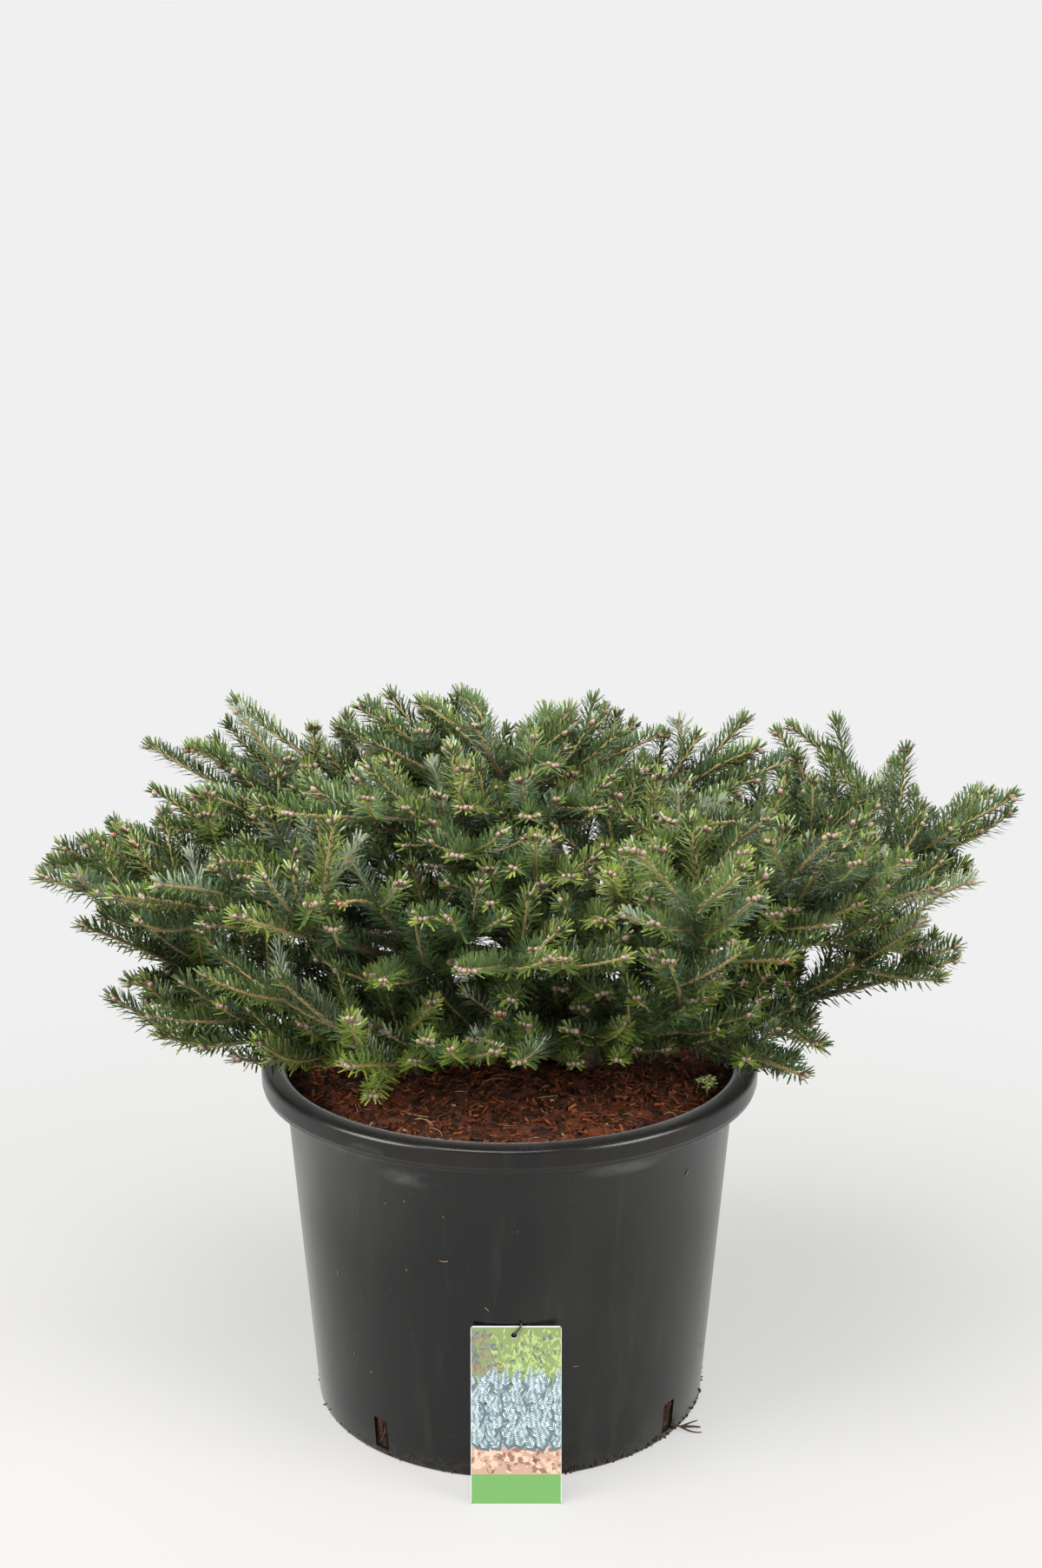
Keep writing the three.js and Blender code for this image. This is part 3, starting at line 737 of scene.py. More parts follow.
def source_shoots(branch, random):
    """The side shoots of one mass as the source's dice give them."""
    tier, line = branch["tier"], branch["line"]
    share, length = tier["share"], line.length * (1 - tier["share"])
    found = []
    for node, place_on_stem in enumerate(NODES):
        part = mix(share, 1, place_on_stem)
        under = (SIDE["under"],) if tier["under"] else ()
        for roll in SIDE["rolls"] if node % 2 == 0 else SIDE["between"] + under:
            foot = line.at(part if roll < 0 else part + SIDE["stagger"] / line.length)
            spread = SIDE["spread"] + SIDE["spread_span"] * (2 * next(random) - 1)
            turn = roll + SIDE["roll_span"] * (2 * next(random) - 1)
            longest = min(SIDE["length"], length * SIDE["of_stem"])
            full = longest * (1 - SIDE["taper"] * node) * mix(*SIDE["spans"], next(random))
            found.append((foot, headed(line.heading(part), spread, turn), full))
    return found


print(f"The source sets side shoots at {len(NODES)} nodes of each stem.")

# %% [markdown]
# ## Leading shoots
#
# The leading shoot of a bough is the oldest and longest of its mass, five years' lengths in a row. It could
# come last, after the side shoots, but then it might find its way taken. The leading shoots are grown first
# and without a trial for room, so that the crown is sure to reach its outline.

# %% Leading shoots
FINE_NODES = (0.58, 0.76)
LEADER = dict(foot=LIMB["end"] - 0.4, end=1.2, slimming=0.7)


def stretch(line, start, end):
    """The path along a stretch of a line, with points at even distances."""
    return line.at(np.linspace(start, end, max(4, int(line.length * (end - start) / GROWTH["point_every"]))))


for number, branch in enumerate(branches):
    tier, line = branch["tier"], branch["line"]
    parts = [tier["share"]] + [mix(tier["share"], 1, node) for node in NODES[1:] + FINE_NODES]
    parts.append(1 - GROWTH["needle_reach"] / line.length)
    branch["owns"] = []
    for age, ends in zip((5, 4, 3, 2, 1), zip(parts, parts[1:])):
        outer = [((part - tier["share"]) / (1 - tier["share"])) ** LEADER["slimming"] for part in ends]
        thick = [mix(LEADER["foot"], LEADER["end"], part) for part in outer]
        keep(stretch(line, *ends), age, number, 1, tip=age == 1, widths=thick)
        branch["owns"].append(len(shoots))
print(f"The leading shoots are {len(shoots)} years' lengths.")

# %% [markdown]
# ## Long shoots between them
#
# Further long shoots fork from the stems and end where the listed tips are. Which stem carries which tip is
# hidden by needles. It could be chosen by hand for each, but a cost says it well enough: the nearest stem
# that already heads the right way. A shoot towards the viewer ends straight outwards, so that its buds show.

# %% Long shoots
FORK = dict(
    nearest=80, furthest=175,       # distance from a stem to the tip
    rise=0.2,                       # the least that the way to the tip rises
    parts=(0.03, 0.85),             # the stretch of a stem that can fork
    bend=0.45, straight=0.6,
    via=(16, 130),                  # distance from a stem to the first point, where one is given
    far_cost=0.35,
    via_costs=(0.5, 0.35, 1.2),     # for distance, for the turn at the stem, and for the turn on the way
    nodes=(0.3, 0.58),
    outward=42, lift=0.25,
    widths=(1.8, 1.15),
)
stem_parts = np.linspace(0, 1, 40)
stem_points = np.concatenate([b["line"].at(mix(b["tier"]["share"], 1, stem_parts)) for b in branches])
stem_headings = np.concatenate([unit(np.gradient(p, axis=0)) for p in stem_points.reshape(-1, 40, 3)])
all_parts = np.tile(stem_parts, len(branches))


def angle_to(ways, directions):
    return np.degrees(np.arccos(np.clip((unit(ways) * directions).sum(-1), -1, 1)))


def fork_line(tip, via=None):
    """The line of a long shoot and the number of its branch, from the stem that best heads its way."""
    way = (tip if via is None else via) - stem_points
    far, turn_off = np.linalg.norm(way, axis=1), angle_to(way, stem_headings)
    fit = (all_parts > FORK["parts"][0]) & (all_parts < FORK["parts"][1])
    if via is None:
        fit &= (far > FORK["nearest"]) & (far < FORK["furthest"]) & (unit(way)[:, 2] > FORK["rise"])
        cost = far * FORK["far_cost"] + turn_off
    else:
        fit &= (far > FORK["via"][0]) & (far < FORK["via"][1])
        for_way, at_stem, on_way = FORK["via_costs"]
        cost = far * for_way + turn_off * at_stem + angle_to(way, unit(tip - via)) * on_way
    if not fit.any():
        return None
    best = int(np.argmin(np.where(fit, cost, np.inf)))
    foot, heading = stem_points[best], stem_headings[best]
    if via is None:
        bend = foot + unit(mix(heading, unit(way[best]), FORK["straight"])) * far[best] * FORK["bend"]
        points = bent(foot, bend, tip, 40)
    else:
        points = smooth_through([foot, via, tip], 20)
    return Line(points), best // len(stem_parts)


def outward_goal(tip):
    """A tip, and a point before it from which the shoot heads straight outwards."""
    out = unit((tip - (CROWN["x"], CROWN["y"], 0)) * (1, 1, 0))
    return tip, tip - unit(out + UP * FORK["lift"]) * FORK["outward"]


def grow_fork(tip, via):
    """A long shoot in three years' lengths, or nothing if no stem fits."""
    found = fork_line(tip, via)
    if found is None:
        return []
    line, number = found
    end = 1 - GROWTH["needle_reach"] / line.length
    owns = []
    for age, (start, stop) in zip((3, 2, 1), zip((0, *FORK["nodes"]), (*FORK["nodes"], end))):
        widths = [mix(*FORK["widths"], part) for part in (start, stop)]
        keep(stretch(line, start, stop), age, number, 1, tip=age == 1, widths=widths)
        owns.append(len(shoots))
    return [dict(line=line, number=number, owns=owns)]


goals = []
for spot, places in ((at_pixel, SEEN_FORKS), (polar, FORKS)):
    goals += [(spot(*place[:3]), spot(*place[3:]) if place[3:] else None) for place in places]
for spot, places in ((at_pixel, SEEN_FACING), (polar, FACING)):
    goals += [outward_goal(spot(*place)) for place in places]
forks = [fork for goal in goals for fork in grow_fork(*goal)]
print(f"{len(forks)} long shoots fork from the stems, and {len(goals) - len(forks)} found no stem.")

# %% [markdown]
# ## Finer shoots
#
# The side shoots of the source follow by turns, one of each bough at a time. If one bough grew all of its
# own first, it would take the room of its neighbours. Then come finer shoots near the tips, which the CAD
# model leaves out to keep its solids light.

# %% Side shoots by turns
queues = [source_shoots(branch, dice(SEED + number)) for number, branch in enumerate(branches)]
for turn in range(max(map(len, queues))):
    for number, queue in enumerate(queues):
        if turn < len(queue):
            foot, heading, full = queue[turn]
            owns = branches[number]["owns"]
            gaps = [np.linalg.norm(shoots[own - 1]["path"] - foot, axis=1).min() for own in owns]
            side_branch(foot, heading, full, number, owns[int(np.argmin(gaps))])
print(f"{len(shoots)} shoots after the side shoots of the source.")

# %% Fine shoots near the tips
FINE = dict(
    rolls=(-78, 78, 6), top=6, with_top=0.6, top_spread=0.75, spread=(38, 52), turn_span=30, shortest=28,
    on_forks=(0.5, 0.68), on_stems=(0.46, 0.62),
)


def fine_shoots(line, part, number, own, share):
    """A pair of shoots at a node, and sometimes one on top."""
    for roll in FINE["rolls"]:
        on_top = roll == FINE["top"]
        length = line.length * (1 - part) * mix(*share, rng.random())
        spread = mix(*FINE["spread"], rng.random()) * (FINE["top_spread"] if on_top else 1)
        turn = roll + FINE["turn_span"] * (rng.random() - 0.5)
        if not on_top or rng.random() < FINE["with_top"]:
            heading = headed(line.heading(part), spread, turn)
            side_branch(line.at(part), heading, max(length, FINE["shortest"]), number, own)


for fork in forks:
    for own, part in zip(fork["owns"][1:], FORK["nodes"]):
        fine_shoots(fork["line"], part, fork["number"], own, FINE["on_forks"])
for number, branch in enumerate(branches):
    for own, node in zip(branch["owns"][3:], FINE_NODES):
        part = mix(branch["tier"]["share"], 1, node)
        fine_shoots(branch["line"], part, number, own, FINE["on_stems"])
print(f"{len(shoots)} shoots after the fine ones.")

# %% [markdown]
# ## Filling shoots
#
# A dwarf fir is dense because hidden buds on older wood break wherever light falls in. More boughs could fill
# the crown as well, but they would change its outline. Shoots that start at chance places on older wood, head
# outwards and stay within reach of the long stems close it from inside.

# %% Filling shoots
FILL = dict(
    tries=9000,
    length=(46, 100),
    spread=(24, 62),
    outward=0.3,        # a filling shoot heads outwards at least this much
    parts=(0, 0.55, 0.85, 1),
    reach=(74, 60, 32, 12),
    fork_reach=(60, 44, 26, 10),
    below=1.7,          # what hangs below a stem keeps nearer to it than what stands above
    heart=(34, 0, 250),
)
fork_points = np.concatenate([fork["line"].at(stem_parts) for fork in forks])
long_points = np.concatenate([stem_points, fork_points])
stem_reach = np.tile(np.interp(stem_parts, FILL["parts"], FILL["reach"]), len(branches))
fork_reach = np.tile(np.interp(stem_parts, FILL["parts"], FILL["fork_reach"]), len(forks))
long_reach = np.concatenate([stem_reach, fork_reach])


def within_reach(point):
    gaps = point - long_points
    gaps[:, 2] = np.where(gaps[:, 2] < 0, gaps[:, 2] * FILL["below"], gaps[:, 2])
    return bool((np.linalg.norm(gaps, axis=1) < long_reach).any())


for _ in range(FILL["tries"]):
    pick = int(rng.integers(len(shoots)))
    parent = shoots[pick]
    spot, spread, roll, size = rng.random(4)
    if parent["age"] < 2:
        continue
    index = 1 + int(spot * (len(parent["path"]) - 1))
    foot = parent["path"][index]
    along = unit(foot - parent["path"][index - 1])
    heading = headed(along, mix(*FILL["spread"], spread), 360 * roll)
    length = mix(*FILL["length"], size)
    if heading @ unit(foot - FILL["heart"]) > FILL["outward"] and within_reach(foot + heading * length):
        side_branch(foot, heading, length, parent["branch"], pick + 1)
print(f"{len(shoots)} shoots after {FILL['tries']} tries to fill the crown.")

# %% [markdown]
# ## The last gaps
#
# Chance leaves a few holes through the crown. More tries would close them, but thicken the whole crown too.
# So the crown is looked at as the camera sees it, on a grid within its outline, and a long shoot grows
# towards each spot that no shoot covers. The real openings are left alone.

# %% The crown's outline
# Pixels across and down, as the camera sees the crown.
OUTLINE = [
    (40, 1005), (60, 970), (110, 955), (170, 950), (185, 935), (165, 903), (220, 908), (245, 880),
    (163, 845), (262, 868), (290, 860), (265, 805), (325, 850), (370, 850), (395, 815), (450, 798),
    (540, 795), (612, 818), (685, 802), (725, 820), (795, 816), (835, 850), (880, 832), (905, 828),
    (960, 862), (1005, 900),
    (1022, 884), (1040, 920), (1070, 916), (1082, 940), (1120, 902), (1180, 917), (1120, 965), (1130, 1010),
    (1070, 1035), (1068, 1058), (1108, 1090), (1020, 1120), (950, 1155), (950, 1200), (912, 1242),
    (870, 1215), (700, 1215), (690, 1165), (625, 1165), (615, 1215), (300, 1215), (220, 1205), (160, 1160),
    (137, 1140), (172, 1105), (120, 1080), (86, 1061), (112, 1040),
]
corners = np.array([at_pixel(*pixel)[[0, 2]] for pixel in OUTLINE])


def is_inside(x, z, corners):
    """True if a ray from the point crosses the outline an odd number of times."""
    hits = 0
    for (x0, z0), (x1, z1) in zip(corners, np.roll(corners, -1, axis=0)):
        if (z0 > z) != (z1 > z) and x < x0 + (z - z0) / (z1 - z0) * (x1 - x0):
            hits += 1
    return hits % 2 == 1


print(f"The outline is {np.ptp(corners[:, 0]):.0f} mm wide in the plane through the pot's axis.")

# %% Shoots towards the open spots
OPEN_SPOT = dict(
    grid=6,
    clear=9,            # a spot is open where no shoot is seen within this distance
    around=40,          # the shoots this near to it give its depth
    beyond=6,           # or those that are no further from it than the nearest one and this much more
    apart=14,
    margin=6,           # distance kept from the openings
    rounds=2,
)


def open_spots(corners):
    """Spots within the outline that no shoot covers, the widest first: gap, x, z and the depth around."""
    seen = seen_flat(taken)
    low, high = corners.min(axis=0), corners.max(axis=0)
    found = []
    for x in np.arange(low[0], high[0], OPEN_SPOT["grid"]):
        for z in np.arange(low[1], high[1], OPEN_SPOT["grid"]):
            far = np.hypot(*(seen - (x, z)).T)
            if far.min() < OPEN_SPOT["clear"] or not is_inside(x, z, corners):
                continue
            if any(math.hypot(x - a, z - b) < r + OPEN_SPOT["margin"] for a, b, r in OPENINGS):
                continue
            depth = np.median(taken[far < max(OPEN_SPOT["around"], far.min() + OPEN_SPOT["beyond"]), 1])
            found.append((float(far.min()), float(x), float(z), float(depth)))
    return sorted(found, reverse=True)


patches = []
for _ in range(OPEN_SPOT["rounds"]):
    closed = []
    for gap, x, z, depth in open_spots(corners):
        if any(math.hypot(x - a, z - b) < OPEN_SPOT["apart"] for a, b in closed):
            continue
        grown = grow_fork(*outward_goal(eye_to(x, z, depth)))
        if grown:
            closed.append((x, z))
            patches += grown
print(f"{len(patches)} more shoots close the last gaps.")
ages = np.bincount([shoot["age"] for shoot in shoots])
metres = sum(shoot["length"] for shoot in shoots) * MM
print(f"{len(shoots)} shoots have grown; by age: {ages[1:]}; {metres:.1f} m in all.")

# %% [markdown]
# ## The greens
#
# A fir's needles differ in green from shoot to shoot: dark on old wood inside the crown, fresh where they have
# just opened, bluish on some shoots, and pale underneath. Part of it is painted shade: the darkest green also
# stands for the shade deep inside the crown, and a darker bluish green for the shade on the right side below.
# One material could shift its green by the place in space, but the change would then run across shoots. Nine
# plain materials, dealt out by shoot, keep each spray whole.

# %% Needle materials
GREENS = [
    ("needle_deep", (0.026, 0.046, 0.012)),
    ("needle_blue", (0.056, 0.104, 0.040)),
    ("needle_mid", (0.100, 0.156, 0.030)),
    ("needle_olive", (0.160, 0.205, 0.035)),
    ("needle_fresh", (0.205, 0.270, 0.045)),
    ("needle_bright", (0.260, 0.370, 0.055)),
]
UNDERS = [
    ("needle_under_silver", (0.340, 0.410, 0.300)),
    ("needle_under_dull", (0.070, 0.108, 0.036)),
    ("needle_under_green", (0.150, 0.220, 0.048)),
]
needle_materials = [new_material(name, colour, 0.31, specular=0.75) for name, colour in GREENS]
needle_materials += [new_material(name, colour, 0.6, specular=0.2) for name, colour in UNDERS]
print(f"There are {len(GREENS)} greens for the top of a needle and {len(UNDERS)} for its underside.")

# %% [markdown]
# ## Where the needles stand
#
# Round an upright shoot the needles stand in a spiral. On a level one they twist at their foot, part above
# the stem and comb up to both sides, and near the tip they close in around the buds. Hair particles could be
# combed like this, but they are lost on export and have no flat sides. So a few arrays hold, for all needles
# of one shoot, where each starts, where it points and where its upper face looks.

# %% Places and directions of the needles
NEEDLE = dict(
    per_mm=2.05, length=12.2, width=1.7, keel=0.42, widest=0.4, blunt=0.55, sunk=0.6, lift=0.13, simple_age=3,
    tuft=9, tuft_depth=4,
)
DENSITY = {1: 1.0, 2: 0.9, 3: 0.72, 4: 0.55, 5: 0.4}
BARE_FOOT = dict(young=1.5, oldest_part=0.3)
COMB = dict(spiral=137.508, jitter=12, parting=5, sweep=107, crowd=1.05, level=1.35, steep=1.25, at_tip=0.6)
LEAN = dict(along=64, at_tip=34, jitter=8)
TINTS = dict(other=0.22, young_from=0.8)


def needle_stations(shoot, line):
    """How far along the shoot each of its needles starts."""
    count = int(line.length * NEEDLE["per_mm"] * DENSITY[shoot["age"]])
    start = BARE_FOOT["young"] if shoot["age"] < 5 else line.length * BARE_FOOT["oldest_part"]
    along = np.linspace(start, line.length, count) + rng.uniform(-0.4, 0.4, count)
    if shoot["tip"]:
        along = np.concatenate([along, line.length - rng.uniform(0, NEEDLE["tuft_depth"], NEEDLE["tuft"])])
    return along


def needles_of(shoot):
    """Arrays of the places, directions and looks of the needles on one shoot."""
    line = Line(shoot["path"])
    along = needle_stations(shoot, line)
    count = len(along)
    part = np.clip(along / line.length, 0, 1)
    base = line.at(part)
    heading = unit(line.at(np.minimum(part + 0.04, 1)) - line.at(np.maximum(part - 0.04, 0)))
    level = np.cross(heading, UP)
    level = unit(level + np.array([1e-4, 0, 0]))
    above = np.cross(level, heading)

    # Round the stem the needles follow a spiral. On level shoots it is combed to both sides.
    jitter = rng.uniform(-COMB["jitter"], COMB["jitter"], count)
    turn = (np.arange(count) * COMB["spiral"] + jitter) % 360 - 180
    combed = np.sign(turn) * (COMB["parting"] + COMB["sweep"] * (np.abs(turn) / 180) ** COMB["crowd"])
    level_part = np.clip(COMB["level"] - COMB["steep"] * np.abs(heading[:, 2]), 0, 1)
    near_tip = np.clip((part - 0.72) / 0.28, 0, 1) if shoot["tip"] else np.zeros(count)
    level_part = level_part * (1 - COMB["at_tip"] * near_tip**2)
    turn = np.radians(np.where(turn == 0, 1, mix(turn, combed, level_part * shoot["comb"])))
    out = above * np.cos(turn)[:, None] + level * np.sin(turn)[:, None]

    jitter = rng.uniform(-LEAN["jitter"], LEAN["jitter"], count)
    lean = np.radians(mix(LEAN["along"], LEAN["at_tip"], near_tip**1.5) + jitter)
    direction = heading * np.cos(lean)[:, None] + out * np.sin(lean)[:, None]
    width_here = mix(shoot["widths"][0], shoot["widths"][1], part)
    base = base + out * (width_here - NEEDLE["sunk"])[:, None]

    # The upper face looks to the sky on a level shoot, and to the tip on an upright one.
    face = UP * level_part[:, None] + heading * (1.15 - level_part)[:, None] + out * 0.12
    face += rng.normal(0, 0.2, (count, 3))
    face = unit(face - direction * (face * direction).sum(1, keepdims=True))

    # On a young shoot the needles are longest in the middle.
    profile = 0.80 + 0.26 * np.sin(np.pi * np.clip(part * 0.9 + 0.08, 0, 1)) if shoot["age"] == 1 else 1.0
    size = NEEDLE["length"] * profile * rng.uniform(0.86, 1.12, count) * shoot["vigour"]
    return dict(base=base, direction=direction, face=face, size=size, **needle_greens(shoot, part))


def needle_greens(shoot, part):
    """Material numbers of the upper and the lower faces of each needle."""
    top = np.full(len(part), shoot["green"])
    top = np.where(rng.random(len(part)) < TINTS["other"], shoot["other_green"], top)
    if shoot["tip"]:
        young = (part > TINTS["young_from"]) & (rng.random(len(part)) < shoot["young"])
        top = np.where(young, shoot["young_green"], top)
    return dict(top=top, under=np.full(len(part), len(GREENS) + shoot["under"]))


print(f"A full-grown needle is {NEEDLE['length']} mm long and {NEEDLE['width']} mm wide.")

# %% [markdown]
# ## The shape of a needle
#
# A Korean fir's needle is a slim strap, widest before its middle, with a blunt end and a keel below. A flat
# card would vanish when seen edge on, and a rounded blade would cost fifty faces. Eight triangles give both
# sides and the keel, and four are enough on old wood inside the crown.

# %% The faces of a needle
# Corners: the foot, then left, right and keel at the widest place, then left and right at the blunt tip.
NEEDLE_FACES = np.array([
    (0, 2, 1), (1, 2, 5), (1, 5, 4), (0, 1, 3), (0, 3, 2), (1, 4, 3), (2, 3, 5), (3, 4, 5),
])
# Inside the crown, needles are wedges: the foot, the keel, and left and right at the tip.
WEDGE_FACES = np.array([(0, 3, 2), (0, 2, 1), (0, 1, 3), (1, 2, 3)])


def add_needles(pile, needles, simple=False):
    side = np.cross(needles["direction"], needles["face"])
    size, half = needles["size"][:, None], NEEDLE["width"] / 2

    def spot(station, aside=0.0, down=0.0):
        lift = NEEDLE["lift"] * size * station**2 - down
        onward = needles["direction"] * size * station + needles["face"] * lift
        return needles["base"] + onward + side * half * aside

    wide, blunt, keel = NEEDLE["widest"], NEEDLE["blunt"], NEEDLE["keel"]
    if simple:
        corners = [spot(0), spot(0.5, 0, keel * 1.5), spot(1, -0.9), spot(1, 0.9)]
        faces, tops = WEDGE_FACES, 1
    else:
        corners = [spot(0), spot(wide, -1), spot(wide, 1), spot(wide, 0, keel)]
        corners += [spot(1, -blunt), spot(1, blunt)]
        faces, tops = NEEDLE_FACES, 3
    corners = np.stack(corners, 1)
    all_faces = faces[None] + corners.shape[1] * np.arange(len(corners))[:, None, None]
    upper = np.repeat(needles["top"][:, None], tops, 1)
    under = np.repeat(needles["under"][:, None], len(faces) - tops, 1)
    pile.add(corners, all_faces, np.concatenate([upper, under], 1).reshape(-1))


print(f"A needle has {len(NEEDLE_FACES)} triangles, and {len(WEDGE_FACES)} on old wood.")

# %% [markdown]
# ## Dealing out the colours
#
# The youngest sprays at the lower front are the brightest. The right side below gets a darker bluish green as
# painted shade, and old wood carries the darkest needles, for their age and as painted shade inside the crown.
# These places could be painted as vertex colours, needle by needle. A choice for each shoot by its place and a
# throw of the dice does the same with plain materials.


# %% Colours and vigour of each shoot
def looks_of(shoot):
    """Colours and vigour of a shoot, by its place in the crown."""
    tip = shoot["path"][-1]
    tier = branches[shoot["branch"]]["name"]
    height = (tip[2] - 270) / 280
    front = tip[1] < -120
    low_right = tip[0] > 120 and tip[2] < 318 and tip[1] < 60
    roll = rng.random()
    green = 2 if roll < 0.42 else 1 if roll < 0.72 else 0 if roll < 0.84 else 3
    young, young_green = 0.5, 3
    if tier == "low" and front and not low_right and tip[2] < 345:
        green, young, young_green = (3 if roll < 0.5 else 4), 0.8, (5 if roll < 0.6 else 4)
    elif front and roll > 0.6:
        young, young_green = 0.7, 4
    # Painted shade: the shaded right side below gets the darker bluish green and no fresh tips.
    if low_right:
        green, young = 1, 0
    if shoot["age"] > 1:
        green = min(green, 1 if roll < 0.5 else 2)
    # Old wood gets the darkest green, for the age of its needles and as painted shade inside the crown.
    if shoot["age"] > 2:
        green = 0 if roll < 0.8 else 1
    shoot["green"] = green
    shoot["other_green"] = max(0, green - 1) if rng.random() < 0.5 else min(3, green + 1)
    shoot["young"], shoot["young_green"] = young * (shoot["age"] == 1), young_green
    steep = abs(unit(tip - shoot["path"][0])[2])
    shoot["under"] = 0 if rng.random() < 0.03 + 0.05 * height + 0.06 * steep**2 else 1
    if green >= 4:
        shoot["under"] = 2
    shoot["comb"] = mix(0.5, 1, rng.random())
    shoot["vigour"] = mix(0.9, 1.12, rng.random()) * (0.95 if shoot["order"] == 3 else 1.0)


print(f"Each of the {len(shoots)} shoots gets its colours as its needles are made.")

# %% [markdown]
# ## The needles in pieces
#
# One mesh of all needles would be too large for its exported file, and could be cut up by equal counts.
# Pieces by tier and branch are better, since each then replaces whole foliage masses of the CAD model.

# %% Needle pieces
PIECE_LIMIT = 180_000


def make_needle_piece(pile, members):
    """One piece of needles in place of the foliage masses of its branches."""
    first = branches[members[0]]
    masses = [f"{branches[member]['name']}_foliage_{branches[member]['number']}" for member in members]
    name = f"{first['name']}_needles_{first['number']}"
    return pile.make(name, needle_materials, "fir_foliage", masses, smooth=False)


needle_pieces, needle_count = [], 0
pile, members = Pile(), []
by_branch = {number: [s for s in shoots if s["branch"] == number] for number in range(len(branches))}
for number, branch in enumerate(branches):
    grown = Pile()
    for shoot in by_branch[number]:
        looks_of(shoot)
        needles = needles_of(shoot)
        add_needles(grown, needles, shoot["age"] >= NEEDLE["simple_age"])
        needle_count += len(needles["size"])
    new_tier = members and branches[members[0]]["name"] != branch["name"]
    if members and (pile.size() + grown.size() > PIECE_LIMIT or new_tier):
        needle_pieces.append(make_needle_piece(pile, members))
        pile, members = Pile(), []
    pile.add(np.concatenate(grown.points), np.concatenate(grown.faces), np.concatenate(grown.numbers))
    members.append(number)
needle_pieces.append(make_needle_piece(pile, members))
print(f"{needle_count} needles in {len(needle_pieces)} pieces.")

# %% [markdown]
# ## Twigs
#
# Young twigs of a fir are tan, and older ones turn grey-brown as their skin becomes bark. A curve with a
# bevel would make such a twig, but over a thousand curves are slow to convert. The tube function gives each
# shoot five sides, and three plain materials its age.

# %% Twigs
TWIGS = [
    ("twig_young", (0.300, 0.225, 0.085)),
    ("twig_tan", (0.205, 0.148, 0.066)),
    ("twig_old", (0.105, 0.076, 0.044)),
]
twig_materials = [new_material(name, colour, 0.75) for name, colour in TWIGS]
twig_pile = Pile()
for shoot in shoots:
    widths = np.linspace(*shoot["widths"], len(shoot["path"]))
    points, faces = tube(shoot["path"], widths, 5)
    twig_pile.add(points, faces, min(shoot["age"], len(TWIGS)) - 1)
twig_pile.make("twigs", twig_materials, "bark")
print(f"Twigs have {twig_pile.size()} triangles.")

# %% [markdown]
# ## Buds
#
# A young shoot ends in a row of round buds, side by side across its tip, with a paler cap on the side that
# looks outwards and up: resin, and a painted highlight. Now and then one sits along the twig. An ico sphere
# would make a bud with 80 faces.
# There are thousands, none larger than a lentil, so three rings of five points are enough.

# %% One bud
BUDS = [
    ("bud_pink", (0.215, 0.132, 0.094)),
    ("bud_beige", (0.235, 0.160, 0.106)),
    ("bud_rust", (0.250, 0.100, 0.038)),
    ("bud_resin_highlight", (0.290, 0.212, 0.168)),
]
RESIN_HIGHLIGHT = len(BUDS) - 1
bud_materials = [new_material(name, colour, 0.55, coat=0.08) for name, colour in BUDS]
BUD = dict(radius=2.3, rings=3, sides=5, long=1.15, resin_highlight_from=0.74, resin_highlight_up=0.9)


def add_bud(pile, centre, heading, radius, number):
    """A round bud with a paler cap of resin and painted highlight."""
    rings, sides = BUD["rings"], BUD["sides"]
    heading = unit(heading)
    level, above = across(heading)
    turn = 2 * math.pi * np.arange(sides) / sides
    rays = level * np.cos(turn)[:, None] - above * np.sin(turn)[:, None]
    points = []
    for ring in range(1, rings + 1):
        tilt = math.pi * ring / (rings + 1)
        middle = centre - heading * math.cos(tilt) * radius * BUD["long"]
        points.append(middle + rays * math.sin(tilt) * radius)
    reach = heading * radius * BUD["long"]
    points = np.concatenate(points + [[centre + reach], [centre - reach]])
    k = np.arange(sides)
    foot = np.stack([(k + 1) % sides, k, np.full(sides, rings * sides + 1)], -1)
    faces = np.concatenate([ring_faces(rings, sides), foot])
    cap = points[faces].mean(1) - centre
    # The faces that look outwards and up get the paler cap: resin, and a painted highlight.
    high = cap @ unit(heading + BUD["resin_highlight_up"] * UP) > radius * BUD["resin_highlight_from"]
    pile.add(points, faces, np.where(high, RESIN_HIGHLIGHT, number))


print(f"A bud is {2 * BUD['radius']} mm thick.")

